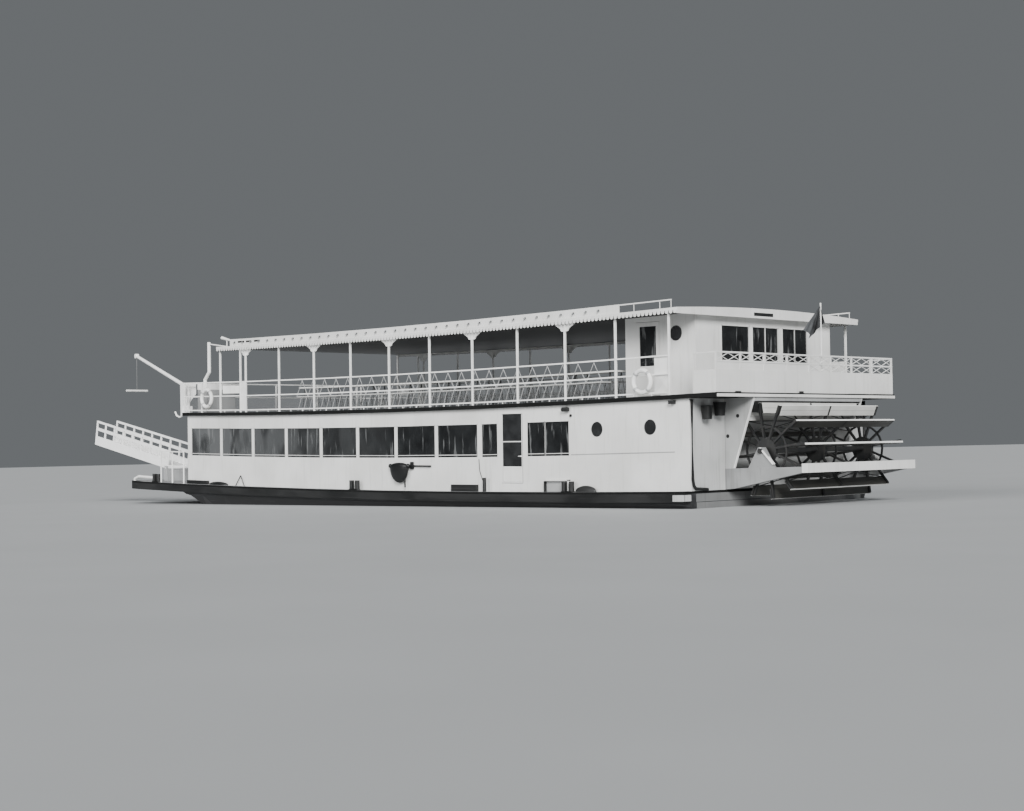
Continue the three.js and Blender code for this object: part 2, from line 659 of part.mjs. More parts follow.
function buildRoofBoards() {
  for (const [name, side] of SIDES) {
    const y0 = ROOF_HALF - ROOF_BOARD.inset;
    const y1 = y0 + ROOF_BOARD.thick;
    const base = roofTop(y0) + SEAT;
    const top = ROOF_EDGE + ROOF_BOARD.high;
    const parts = [bar(ROOF_BOARD.aft, ROOF_BOARD.fore, y0, y1, base, top)];
    const tail = ROOF_BOARD.aft + ROOF_PIPE.lap;
    parts.push(bar(ROOF_PIPE.aft, tail, y0 - 5, y1 + 5, top - ROOF_PIPE.deep, top - 5));
    for (const x of ROOF_PIPE.posts) parts.push(post(x, y1 - 10, base + 1, top - 20, ROOF_PIPE.radius));
    add(`roof_board_${name}`, mirror(join(parts), side), 'white');
  }
}

// After cabin
const CABIN_DOOR = { aft: -11150, fore: -10350, foot: 60, head: 2030 };
const AFT_PANES = [[-1930, -750], [-570, 610], [740, 1960]];
const AFT_PANE = { foot: UPPER + 930, head: UPPER + 1870 };
const VIEW_PANE = { inner: 700, outer: 2200, foot: UPPER + 950, head: UPPER + 1750 };
const CABIN_PORTHOLE = { x: -11720, z: UPPER + 1660 };

function buildCabin() {
  const [z0, z1] = [UPPER + SEAT, ROOF_UNDER - SEAT];
  const [y0, y1] = [CABIN_HALF - CABIN_WALL, CABIN_HALF];
  for (const [name, side] of SIDES) {
    const wall = bar(CABIN_AFT, CABIN_FRONT, y0, y1, z0, z1);
    const lift = UPPER + sheer(CABIN_DOOR.fore);
    const door = block(CABIN_DOOR.aft, CABIN_DOOR.fore, y0 - PAST, y1 + PAST,
      lift + CABIN_DOOR.foot, lift + CABIN_DOOR.head);
    const hole = portholeCutter(CABIN_PORTHOLE.x, y0, y1, CABIN_PORTHOLE.z);
    add(`cabin_wall_${name}`, mirror(cut(wall, door, hole), side), 'white');
  }
  const half = y0 - SEAT;
  const back = bar(CABIN_AFT, CABIN_AFT + CABIN_WALL, -half, half, z0, z1);
  const tools = AFT_PANES.map(([a, b]) => (
    bar(CABIN_AFT - PAST, CABIN_AFT + CABIN_WALL + PAST, a, b, AFT_PANE.foot, AFT_PANE.head)));
  add('cabin_wall_aft', cut(back, ...tools), 'white');
  const front = bar(CABIN_FRONT - CABIN_WALL, CABIN_FRONT, -half, half, z0, z1);
  const { inner, outer, foot, head } = VIEW_PANE;
  const view = [-1, 1].map((s) => (
    bar(CABIN_FRONT - CABIN_WALL - PAST, CABIN_FRONT + PAST, s * inner, s * outer, foot, head)));
  add('cabin_wall_forward', cut(front, ...view), 'white');
}

// Doors hang on their forward edge and open outward.
const DOOR_GAP = 10;
const STILE = 110;                // frame left round a door's pane

function doorLeaf(opening, thick) {
  const wide = opening.fore - opening.aft - DOOR_GAP - SEAT;
  const [z0, z1] = [opening.foot + DOOR_GAP, opening.head - DOOR_GAP];
  const leaf = block(-wide, 0, -thick, 0, z0, z1);
  const pane = block(-wide + STILE, -STILE, -thick - PAST, PAST, z0 + opening.paneFoot, z1 - STILE);
  return cut(leaf, pane);
}

function buildDoors() {
  const doors = [
    // name, opening, thickness, floor, outer face
    ['side_door', { ...SIDE_DOOR, paneFoot: 480 }, 45, DECK, HULL_HALF],
    ['cabin_door', { ...CABIN_DOOR, paneFoot: 780 }, 40, UPPER, CABIN_HALF],
  ];
  for (const [kind, opening, thick, floor, face] of doors) {
    for (const [name, side] of SIDES) {
      const group = new THREE.Group();
      group.position.set(opening.fore - SEAT, side * face, floor + sheer(opening.fore));
      boat.add(group);
      add(`${kind}_${name}`, mirror(doorLeaf(opening, thick), side), 'white', group);
    }
  }
}

// Landing stage at the port bow
const STAGE = { x: 11900, y: 2790, z: DECK + 620, length: 5000, half: 450, tilt: 10.5, truss: 890, pin: 26 };

// Lower, middle and top chord of the stage's sides, as shares of their height
const STAGE_CHORDS = [[-0.034, 0.34], [0.59, 0.71], [0.92, 1]];

function buildStage() {
  const group = new THREE.Group();
  group.position.set(STAGE.x, STAGE.y, STAGE.z);
  group.rotation.y = -THREE.MathUtils.degToRad(STAGE.tilt);
  boat.add(group);
  const { length, half, truss } = STAGE;
  const deck = block(0, length, -half + 45, half - 45, 20, 60);
  const tip = half + 75;
  const parts = [deck, rod([0, -half, 0], [0, half, 0], 40, 12)];
  parts.push(rod([0, -tip, 0], [0, tip, 0], STAGE.pin, 12));
  for (const s of [1, -1]) {
    const y = s * (half - 25);
    const [y0, y1] = [y - 25, y + 25];
    for (const [low, high] of STAGE_CHORDS) {
      parts.push(block(-20, length, y0, y1, low * truss, high * truss));
    }
    const bays = 8;
    for (let k = 0; k <= bays; k++) {
      const x = Math.min(k * length / bays, length - 25);
      parts.push(block(x - 20, x + 25, y0, y1, 0, truss - 10));
    }
  }
  add('landing_stage', join(parts), 'white', group);
  const floor = DECK + sheer(STAGE.x);
  const bracket = [1, -1].map((s) => {
    const y = STAGE.y + s * (half + 45);
    const ear = block(STAGE.x - 70, STAGE.x + 70, y - 30, y + 30, floor + 30, STAGE.z + 70);
    const bore = rod([STAGE.x, y - 60, STAGE.z], [STAGE.x, y + 60, STAGE.z], boreFor(STAGE.pin, 16), 16);
    return cut(ear, bore);
  });
  const reach = half + 75;
  const sill = bar(STAGE.x - 120, STAGE.x + 90, STAGE.y - reach, STAGE.y + reach, DECK + SEAT, DECK + 400);
  add('stage_stand', join(bracket, sill), 'grey');
}

// Davit at the port fore corner of the upper deck
const DAVIT = { x: 10140, y: 3700, z: UPPER + 980, boom: 4760, luff: 15, turn: 12, pin: 14, crown: 85 };
const WINCH = { aft: 270, fore: 50, inner: 350, outer: 60, above: 40 };

function buildDavit() {
  const head = DAVIT.z + sheer(DAVIT.x);
  const foot = UPPER_UNDER + sheer(DAVIT.x);
  const edge = UPPER_FRONT + SEAT;
  const turn = THREE.MathUtils.degToRad(DAVIT.turn);
  const swing = (g) => g.rotateZ(-turn).translate(DAVIT.x, DAVIT.y, head);
  const drop = foot - head;
  const outline = [[-140, drop], [30, drop], [60, 60], [-290, 60], [-290, -260], [-140, drop + 260]];
  const plates = [1, -1].map((s) => swing(plateXZ(outline, s * 68, s * 93)));
  const spine = swing(block(-140, 20, -75, 75, drop, drop + 700));
  const base = block(edge, DAVIT.x - 40, DAVIT.y - 90, DAVIT.y + 90, foot, foot + 330);
  const [inner, outer] = [DAVIT.y - WINCH.inner, DAVIT.y - WINCH.outer];
  const lid = head + WINCH.above;
  const winch = loft([DAVIT.x - WINCH.aft, DAVIT.x - WINCH.fore], () => (
    [[inner, head - 330], [outer, head - 650], [outer, lid], [inner, lid]]));
  const bore = swing(rod([0, -150, 0], [0, 150, 0], boreFor(DAVIT.pin, 16), 16));
  add('davit_stand', cut(join(plates, spine, base, winch), bore), 'white');
  const arm = new THREE.Group();
  arm.position.set(DAVIT.x, DAVIT.y, head);
  arm.rotation.z = -turn;
  boat.add(arm);
  const luff = THREE.MathUtils.degToRad(DAVIT.luff);
  const tip = [DAVIT.boom * Math.cos(luff), 0, DAVIT.boom * Math.sin(luff)];
  const boom = rod([0, 0, 0], tip, 66, 12, 55);
  const pin = rod([0, -92, 0], [0, 92, 0], DAVIT.pin, 12);
  const crown = rod([tip[0], -60, tip[2]], [tip[0], 60, tip[2]], DAVIT.crown, 16);
  add('boom', join(boom, pin, crown), 'white', arm);
  const fall = new THREE.Group();
  fall.position.set(tip[0], 0, tip[2]);
  fall.rotation.z = turn;
  arm.add(fall);
  const wire = rod([0, 0, -DAVIT.crown - SEAT], [0, 0, -1290], 12, 8);
  const spreader = rod([0, -450, -1300], [0, 450, -1300], 32, 12);
  add('spreader', join(wire, spreader), 'white', fall);
}

// Small fixtures
function buildEngine() {
  const [z0, z1] = [DECK + SEAT, DECK + 1100];
  add('engine_block', bar(-12000, -10300, -650, 650, z0, z1), 'steel');
}

const BUOY = { radius: 290, tube: 60 };

function buildLifebuoys() {
  // Columns are the place, x and height of the centre
  const table = [['fore', 8190, UPPER + 485], ['aft', -11400, UPPER + 390]];
  for (const [place, x, z] of table) {
    for (const [name, side] of SIDES) {
      const y = side * (POST_Y + RAIL + BUOY.tube + SEAT);
      const ring = new THREE.TorusGeometry(BUOY.radius, BUOY.tube, 8, 24).rotateX(Math.PI / 2);
      add(`lifebuoy_${place}_${name}`, ring.translate(x, y, z + sheer(x)), 'white');
    }
  }
}

const HELM = { aft: 9000, fore: 9550, y0: 2300, y1: 3500, top: UPPER + 1000 };
const VENT = { foot: 9380, x: 9120, y: 3300, radius: 60, bend: 5380, top: 6420 };

function buildHelm() {
  add('helm_console', bar(HELM.aft, HELM.fore, HELM.y0, HELM.y1, UPPER + SEAT, HELM.top), 'white');
  const foot = HELM.top + SEAT + sheer(VENT.foot + VENT.radius);
  const path = [[VENT.foot, foot], [VENT.foot, foot + 150], [VENT.x, VENT.bend], [VENT.x, VENT.top]].map(([x, z]) => (
    [x, VENT.y, z]));
  const parts = [1, 2].map((i) => ball(path[i], VENT.radius));
  for (let i = 0; i < 3; i++) parts.push(rod(path[i], path[i + 1], VENT.radius, 10));
  add('vent_pipe', join(parts), 'white');
}

function buildFlagstaff() {
  add('flagstaff', post(-13700, -680, UPPER + SEAT, UPPER + 2450, 22, 10), 'white');
}

buildHull();
buildMainDeck();
buildForedeck();
buildSideWalls();
buildForwardWall();
buildAftWall();
buildWingPlates();
buildStern();
buildWheel();
buildRudders();
buildUpperDeck();
buildStair();
buildColonnades();
buildBowRail();
buildParapet();
buildRoof();
buildValances();
buildRoofBoards();
buildCabin();
buildDoors();
buildStage();
buildDavit();
buildEngine();
buildLifebuoys();
buildHelm();
buildFlagstaff();

export default boat;
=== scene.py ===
# %% [markdown]
# # A two-deck sternwheel river boat
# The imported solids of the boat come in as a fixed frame: hull, house walls, decks, roof, paddle
# wheel and landing stage. This lesson dresses that frame with glass, trim, fittings and paint, and
# then sets the camera and light. Sizes are in metres in the boat's own frame: +X runs to the bow,
# +Y to port and +Z up, from the middle of the flat bottom. Only a finish's grain is in millimetres.

# %% Load the frame
import math

import bmesh
import bpy
from mathutils import Matrix, Vector


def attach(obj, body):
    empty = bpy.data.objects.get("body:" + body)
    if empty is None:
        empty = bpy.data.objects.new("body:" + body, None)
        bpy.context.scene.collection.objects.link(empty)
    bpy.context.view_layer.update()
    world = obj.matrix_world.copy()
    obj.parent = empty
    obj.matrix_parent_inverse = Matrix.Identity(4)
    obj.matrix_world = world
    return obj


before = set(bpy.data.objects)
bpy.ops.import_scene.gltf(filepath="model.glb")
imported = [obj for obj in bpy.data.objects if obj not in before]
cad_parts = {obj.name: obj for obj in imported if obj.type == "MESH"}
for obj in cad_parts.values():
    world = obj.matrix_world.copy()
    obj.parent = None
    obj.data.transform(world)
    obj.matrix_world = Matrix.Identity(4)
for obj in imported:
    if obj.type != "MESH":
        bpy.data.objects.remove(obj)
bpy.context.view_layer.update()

# %% [markdown]
# ## Sizes that the frame already has
# Trim has to sit on the walls and rails that carry it, so the boat's main heights and half widths
# are written down once.

# %% Main sizes
DECK = 1.400
UPPER_UNDER = 3.760
UPPER = 3.870
ROOF_UNDER = 6.030
ROOF_EDGE = 6.095
HULL_HALF = 3.940
DECK_HALF = 4.195
ROOF_HALF = 4.075
CABIN_HALF = 3.040
HOUSE_FRONT = 9.520
STERN = -12.860
UPPER_FRONT, UPPER_AFT = 9.720, -13.830
ROOF_FRONT, ROOF_AFT = 7.560, -12.630
CABIN_FRONT, CABIN_AFT = -9.960, -12.370
POST_Y, FIRST_POST, BAY = 3.985, 6.026, 1.829
FIRST_PANE, PANE_BAY = 9.345, 1.809
PANE_LOW, PANE_HIGH = DECK + 0.985, DECK + 1.940
RAIL_MID, RAIL_LOW = UPPER + 0.550, UPPER + 0.075
WHEEL_X, WHEEL_Z, WHEEL_HALF = -13.958, 2.522, 2.255
SIDES = (1, -1)
print("roof length", round(ROOF_FRONT - ROOF_AFT, 3))

# %% [markdown]
# ## Sheer
# A boat's decks sag amidships and lift towards both ends, which sheds water. The frame bends at
# every second post, so the trim has to bend at the same stations or it would cut through the
# rails. It is built level, cut at those stations, and lifted by this one curve.

# %% Sheer curve
STATION = 2 * BAY
SHEER_RISE, SHEER_LENGTH, LOWEST_X = 0.200, 15.0, -1.0


def sheer(x):
    """Straight from each station to the next, where the stations lie on a curve."""
    def curve(at):
        return SHEER_RISE * ((at - LOWEST_X) / SHEER_LENGTH) ** 2

    k = math.floor((x - FIRST_POST) / STATION)
    fore, aft = FIRST_POST + (k + 1) * STATION, FIRST_POST + k * STATION
    share = (x - aft) / STATION
    return curve(aft) * (1 - share) + curve(fore) * share


def lift(bm):
    """Cuts a long piece at the bending stations, then raises each point by the sheer there."""
    for k in range(-5, 2):
        at = FIRST_POST + k * STATION
        geometry = bm.verts[:] + bm.edges[:] + bm.faces[:]
        bmesh.ops.bisect_plane(bm, geom=geometry, plane_co=(at, 0, 0), plane_no=(1, 0, 0))
    for vert in bm.verts:
        vert.co.z += sheer(vert.co.x)


print("sheer at the bow", round(sheer(12.9), 3), "and at the stern", round(sheer(-13.8), 3))

# %% [markdown]
# ## Small shaping tools
# Nearly everything on a working boat is a board, a pipe, a ring or a bent pipe. Each helper starts
# from one of Blender's own shapes and places it, so that a piece is a short list of real members.
# Most fittings come in pairs, so two helpers put what is given for port on either side, 1 or -1.

# %% Boards and pipes
def meshes(count):
    return [bmesh.new() for _ in range(count)]


def board(bm, x0, x1, y0, y1, z0, z1):
    size = Vector((abs(x1 - x0), abs(y1 - y0), abs(z1 - z0), 1))
    middle = Vector(((x0 + x1) / 2, (y0 + y1) / 2, (z0 + z1) / 2))
    place = Matrix.Translation(middle) @ Matrix.Diagonal(size)
    return bmesh.ops.create_cube(bm, size=1.0, matrix=place)["verts"]


def side_board(bm, side, x0, x1, near, far, z0, z1):
    return board(bm, x0, x1, side * near, side * far, z0, z1)


def flip(side, *points, base=0.0):
    """Points given for the port side, put on one side, with heights above a base."""
    return [(x, side * y, base + z) for x, y, z in points]


def along(a, b):
    """A turn and a move that lay a Z shape from a to b."""
    a, b = Vector(a), Vector(b)
    turn = (b - a).to_track_quat("Z", "Y").to_matrix().to_4x4()
    return Matrix.Translation((a + b) / 2) @ turn


def pipe(bm, a, b, radius, sides=8, far=None):
    length = (Vector(b) - Vector(a)).length
    bmesh.ops.create_cone(bm, cap_ends=True, segments=sides, radius1=radius,
                          radius2=radius if far is None else far, depth=length, matrix=along(a, b))


def beam(bm, a, b, wide, deep):
    """A straight bar of square-cut timber or flat bar between two points."""
    length = (Vector(b) - Vector(a)).length
    place = along(a, b) @ Matrix.Diagonal((wide, deep, length, 1))
    bmesh.ops.create_cube(bm, size=1.0, matrix=place)


def lump(bm, centre, half, around=20, rows=12):
    """A ball, or with three half sizes a rounded bundle."""
    place = Matrix.Translation(centre) @ Matrix.Diagonal((*half, 1))
    return bmesh.ops.create_uvsphere(bm, u_segments=around, v_segments=rows, radius=1, matrix=place)["verts"]


# %% Bent pipes and rings
def bent_pipe(bm, path, radius, sides=8):
    """A ring is drawn along the path, edge loop by edge loop, and closed at both ends."""
    path = [Vector(point) for point in path]

    def frame_at(i):
        ahead = path[min(i + 1, len(path) - 1)] - path[max(i - 1, 0)]
        return Matrix.Translation(path[i]) @ ahead.to_track_quat("Z", "Y").to_matrix().to_4x4()

    first = bmesh.ops.create_circle(bm, cap_ends=True, segments=sides, radius=radius, matrix=frame_at(0))
    edges = list({edge for vert in first["verts"] for edge in vert.link_edges})
    for i in range(1, len(path)):
        out = bmesh.ops.extrude_edge_only(bm, edges=edges)["geom"]
        verts = [item for item in out if isinstance(item, bmesh.types.BMVert)]
        edges = [item for item in out if isinstance(item, bmesh.types.BMEdge)
                 and all(vert in verts for vert in item.verts)]
        bmesh.ops.transform(bm, matrix=frame_at(i) @ frame_at(i - 1).inverted(), verts=verts)
    bmesh.ops.contextual_create(bm, geom=edges)


def ring(bm, centre, axis, radius, tube, steps=20, sides=8):
    """A small circle spun once round the axis makes a ring."""
    axis = Vector(axis).normalized()
    side = axis.orthogonal().normalized()
    turn = Matrix((side, axis, side.cross(axis))).transposed().to_4x4()
    place = Matrix.Translation(Vector(centre) + side * radius) @ turn
    made = bmesh.ops.create_circle(bm, segments=sides, radius=tube, matrix=place)["verts"]
    edges = list({edge for vert in made for edge in vert.link_edges})
    bmesh.ops.spin(bm, geom=made + edges, cent=centre, axis=axis, angle=2 * math.pi, steps=steps,
                   use_merge=True)


# %% Finish a piece
def soften(bm, width):
    """Real boards and plates have eased edges, which catch a thin line of light."""
    bmesh.ops.bevel(bm, geom=bm.edges[:], offset=width, affect="EDGES", segments=1, profile=0.5, material=-1)


def new_object(name, data):
    made = bpy.data.objects.new(name, data)
    bpy.context.scene.collection.objects.link(made)
    return made


def piece(name, bm, material, body="boat", smooth=False, bent=True):
    """Names, paints and places a piece; what belongs to the boat is bent to the sheer."""
    if bent and body == "boat":
        lift(bm)
    bmesh.ops.recalc_face_normals(bm, faces=bm.faces[:])
    mesh = bpy.data.meshes.new(name)
    bm.to_mesh(mesh)
    bm.free()
    made = new_object(name, mesh)
    mesh.materials.append(material)
    if smooth:
        mesh.shade_smooth()
    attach(made, body)
    print(name, len(mesh.polygons), "faces")
    return made


# %% [markdown]
# ## Colour and nodes
# Paint charts and screens both speak sRGB, but Blender mixes light in linear values, so one
# function turns a hex colour into the numbers that a shader needs. Small functions add a node to
# the tree that its inputs come from, so that each finish reads as a recipe.

# %% Colour and node helpers
def paint_colour(code):
    """The standard sRGB curve, taken backwards, for red, green and blue."""
    def linear(part):
        value = int(code[part:part + 2], 16) / 255
        return value / 12.92 if value <= 0.04045 else ((value + 0.055) / 1.055) ** 2.4

    return (linear(1), linear(3), linear(5), 1.0)


def add(tree, kind, inputs=None, **settings):
    made = tree.nodes.new(kind)
    for key, value in settings.items():
        setattr(made, key, value)
    feed(made, inputs or {})
    return made


def feed(node, inputs):
    """Links each input to another node's output, or else sets its value."""
    for key, value in inputs.items():
        if isinstance(value, bpy.types.NodeSocket):
            node.id_data.links.new(value, node.inputs[key])
        else:
            node.inputs[key].default_value = value


def shader(name):
    """A new material with an empty Principled shader and the Object coordinates."""
    material = bpy.data.materials.new(name)
    material.use_nodes = True
    tree = material.node_tree
    tree.nodes.clear()
    surface = add(tree, "ShaderNodeBsdfPrincipled")
    add(tree, "ShaderNodeOutputMaterial", {"Surface": surface.outputs["BSDF"]})
    print("finish:", name)
    return material, surface, add(tree, "ShaderNodeTexCoord").outputs["Object"]


# %% Patterns
def split(place, axis):
    return add(place.id_data, "ShaderNodeSeparateXYZ", {"Vector": place}).outputs[axis]


def multiply(a, b):
    return add(a.id_data, "ShaderNodeMath", {0: a, 1: b}, operation="MULTIPLY").outputs[0]


def blend_colours(share, a, b):
    """Mixes two colours, each of them a hex code or another node's output."""
    a, b = (paint_colour(part) if isinstance(part, str) else part for part in (a, b))
    return add(share.id_data, "ShaderNodeMix", {0: share, 6: a, 7: b}, data_type="RGBA").outputs[2]


def ramp(value, low, high, out_low=0.0, out_high=1.0):
    limits = {"From Min": low, "From Max": high, "To Min": out_low, "To Max": out_high}
    return add(value.id_data, "ShaderNodeMapRange", {"Value": value, **limits}).outputs["Result"]


def noise(place, size_mm, detail=3.0, stretch=(1, 1, 1)):
    """Blotches about size_mm across, longer along an axis where stretch is below 1."""
    mapped = add(place.id_data, "ShaderNodeMapping", {"Vector": place, "Scale": stretch}).outputs["Vector"]
    inputs = {"Vector": mapped, "Scale": 1000 / size_mm, "Detail": detail}
    return add(place.id_data, "ShaderNodeTexNoise", inputs).outputs["Fac"]


def relief(height, strength, depth, under=None):
    """A bump of a depth in metres, over another one if it is given."""
    inputs = {"Height": height, "Strength": strength, "Distance": depth}
    if under is not None:
        inputs["Normal"] = under
    return add(height.id_data, "ShaderNodeBump", inputs).outputs["Normal"]


# %% [markdown]
# ## Marine enamel
# Most of the boat is steel plate and pipe under brushed white enamel. On the real boat it is a
# little chalky, greyer in broad patches where hands and spray reach it, and marked by faint
# vertical runs below seams. The recipe mixes a clean and a worn tint by broad noise, then drags a
# second noise downwards for the runs. Roughness follows the dirt, and a shallow bump gives the
# brush marks and the slight waviness of thin plate.

# %% Enamel recipe
def enamel(name, clean, worn, streak, dirt, patch_mm=1400, rough=0.42, gloss=0.5):
    run_mm, speck_mm, plate_mm, brush_mm = 90, 45, 700, 30
    material, surface, place = shader(name)
    patches = ramp(noise(place, patch_mm), 0.38, 0.68)
    runs = ramp(noise(place, run_mm, 4.0, (1, 1, 0.07)), 0.55, 0.78, 0.0, dirt)
    specks = ramp(noise(place, speck_mm, 5.0), 0.62, 0.72, 0.0, dirt * 0.5)
    marked = blend_colours(runs, blend_colours(patches, clean, worn), streak)
    wave = relief(noise(place, plate_mm, 2.0), 0.35, 0.004)
    brush = relief(noise(place, brush_mm, 3.0, (0.15, 0.15, 1)), 0.15, 0.001, wave)
    feed(surface, {"Base Color": blend_colours(specks, marked, streak),
                   "Roughness": ramp(runs, 0, 1, rough, rough + 0.25),
                   "Specular IOR Level": gloss, "Normal": brush})
    return material


white_enamel = enamel("white_marine_enamel", "#e0e0de", "#d0d0cd", "#a3a39d", dirt=0.30)
# White enamel greyed as painted shade, for the quarter under the balcony.
shaded_quarter_enamel = enamel("shaded_white_enamel", "#b9bab9", "#a3a4a3", "#787873", dirt=0.4)
# Grey as painted shade, for the stern arms and bearings under the balcony.
arm_enamel = enamel("stern_arm_grey", "#939494", "#7c7d7d", "#575652", dirt=0.45)
transom_enamel = enamel("transom_grey", "#6f7070", "#5c5d5d", "#454440", dirt=0.5)
rail_enamel = enamel("white_rail_enamel", "#f0f0ee", "#e0e0dd", "#9b9b95", dirt=0.25, patch_mm=400)
fresh_enamel = enamel("fresh_white_enamel", "#fcfcfb", "#f3f3f1", "#b4b4ae", dirt=0.2, patch_mm=400)
grey_enamel = enamel("mid_grey_enamel", "#a9aaaa", "#8f9090", "#5c5b57", dirt=0.4)
edge_paint = enamel("black_deck_edge_paint", "#0b0c0c", "#141515", "#333331", dirt=0.3, rough=0.8, gloss=0.2)
steel_paint = enamel("dark_machinery_paint", "#191a1b", "#242423", "#3d3b37", dirt=0.5, patch_mm=300,
                     rough=0.4)

# %% [markdown]
# ## Bitumen on the hull
# The hull and its rubbing strake are coated with black bitumen paint. River water leaves it grey
# and chalky just above the surface and wet and dark at it, so the colour follows the height as
# well as a blotchy noise. Scrapes from landings run fore and aft.

# %% Hull paint
WET_Z, CHALKY_Z = 0.95, 1.25


def bitumen(name, dark, pale, scrape):
    material, surface, place = shader(name)
    blotch = noise(place, 600, 5.0, (0.35, 1, 1))
    chalk = multiply(ramp(split(place, "Z"), WET_Z, CHALKY_Z), ramp(blotch, 0.4, 0.62))
    scrapes = ramp(noise(place, 40, 3.0, (0.03, 1, 1)), 0.62, 0.72, 0.0, 0.55)
    base = blend_colours(chalk, dark, pale)
    feed(surface, {"Base Color": blend_colours(scrapes, base, scrape),
                   "Roughness": ramp(chalk, 0, 1, 0.32, 0.7),
                   "Normal": relief(blotch, 0.4, 0.004)})
    return material


hull_bitumen = bitumen("hull_bitumen", "#1a1a1b", "#37383a", "#58595a")
strake_bitumen = bitumen("strake_bitumen", "#0a0b0b", "#161717", "#333334")

# %% [markdown]
# ## Deck paint
# Decks are walked on, so their grey paint carries sand for grip. The look is a dull, even grey
# with darker walked-in dirt, and a fine grit that only shows close up. The grit is drawn at
# 12 mm, coarser than real sand, because finer would vanish.

# %% Deck paint
deck_paint, surface, place = shader("gritted_deck_paint")
walked = ramp(noise(place, 900, 4.0), 0.4, 0.65)
feed(surface, {"Base Color": blend_colours(walked, "#949595", "#838485"), "Roughness": 0.85,
               "Normal": relief(noise(place, 12, 2.0), 0.5, 0.002)})

# %% [markdown]
# ## Window glass
# The saloon windows are flat float glass. From outside by day they look nearly black, with a soft
# sheen, because the room behind is dark. A dark tint that lets some light pass gives that look
# without hiding the room. Tall pale streaks stand for the folds of the blinds behind the panes,
# and the forward panes are paler, because daylight comes through the room from its far side.
# Portholes and side doors have dark smoked glass.

# %% Glass
float_glass, surface, place = shader("dark_float_glass")
smear = noise(place, 500)
sheen = blend_colours(ramp(smear, 0.35, 0.7), "#1d1e1f", "#2f3132")
daylight = ramp(split(place, "X"), -2.0, 8.0, 0.0, 0.75)
clearings = ramp(noise(place, 520, 1.0, (1, 1, 0.5)), 0.42, 0.56, 0.35, 1.0)
lit = blend_colours(multiply(daylight, clearings), sheen, "#7e8081")
blinds = ramp(noise(place, 110, 3.0, (1, 1, 0.12)), 0.60, 0.68, 0.0, 0.5)
feed(surface, {"Base Color": blend_colours(blinds, lit, "#a3a5a5"),
               "Transmission Weight": 0.45, "IOR": 1.5,
               "Roughness": ramp(smear, 0.3, 0.8, 0.02, 0.1)})

port_glass, surface, place = shader("smoked_port_glass")
cloudy = ramp(noise(place, 300), 0.4, 0.6)
feed(surface, {"Base Color": blend_colours(cloudy, "#161718", "#232425"), "Roughness": 0.25})

# %% [markdown]
# ## Paddle boards
# The wheel's boards are sawn planks, painted once and scoured by the water since. Their edges are
# pale. The front faces of the boards at the top carry a pale tint, which is painted light, and
# those of the others a dark tint, which is painted shade. The face that pushes the water is dark
# because it is wet. A noise stretched along Y draws the grain, about 25 mm wide.

# %% Plank finishes, with painted light and shade
def plank_wood(name, low, high, soaked, dry_rough, wet_rough):
    material, surface, place = shader(name)
    grain = noise(place, 25, 5.0, (1, 0.04, 1))
    soak = ramp(noise(place, 900, 2.0), 0.35, 0.65, 0.0, 0.6)
    dry = blend_colours(grain, low, high)
    feed(surface, {"Base Color": blend_colours(soak, dry, soaked),
                   "Roughness": ramp(soak, 0, 1, dry_rough, wet_rough),
                   "Normal": relief(grain, 0.5, 0.003)})
    return material


# Pale tint for the boards at the top: painted light.
sunlit_plank = plank_wood("sunlit_plank", "#c9c9c5", "#dededb", "#b4b4af", 0.6, 0.4)
# Dark tint: wet on the back faces, painted shade on the other boards' front faces.
wet_and_shaded_plank = plank_wood("wet_and_shaded_plank", "#3c3c39", "#504f4b", "#2f2f2d", 0.45, 0.25)
painted_edge = plank_wood("painted_plank_edge", "#e4e4e1", "#f0f0ee", "#d6d6d2", 0.6, 0.4)

# %% [markdown]
# ## Small materials
# A few small things have finishes of their own: frosted bulbs, scrubbed table boards, wire, rope,
# and the cloth of the flag. One recipe serves them all, because from the bank each shows no more
# than two tints, a grain and a roughness.

# %% Bulb glass, boards, wire, rope and flag cloth
def plain(name, low, high, grain_mm, rough, stretch=(1, 1, 1)):
    material, surface, place = shader(name)
    pattern = noise(place, grain_mm, 4.0, stretch)
    tint = blend_colours(ramp(pattern, 0.35, 0.65), low, high)
    feed(surface, {"Base Color": tint, "Roughness": rough,
                   "Normal": relief(pattern, 0.4, 0.001)})
    return material


bulb_glass = plain("frosted_bulb_glass", "#6d6f70", "#8b8d8e", 30, 0.25)
table_top = plain("scrubbed_table_board", "#d4d4d0", "#e6e6e3", 30, 0.6, (0.05, 1, 1))
# Dark varnish, darkened further as painted shade under the roof.
shaded_ceiling_board = plain("varnish_and_shade_ceiling_board", "#242525", "#323333", 60, 0.5, (0.05, 1, 1))
galvanised_wire = plain("galvanised_wire", "#a8a9a9", "#bebfbf", 20, 0.5)
net_wire = plain("tarred_net_wire", "#6d6e6e", "#8a8b8b", 20, 0.6)
rope = plain("pale_rope", "#bdb9ae", "#dad7cd", 12, 0.9)
flag_cloth = plain("bunting", "#111214", "#47494b", 260, 0.9, (1, 1, 0.5))

# %% [markdown]
# ## Paint on the frame
# Each solid of the frame keeps its shape and takes the finish that the real piece has. One table
# pairs the finishes with the nodes, so that a change of paint is a change of one line. The longest
# beginning that fits a name counts, and a name that none fits is white.

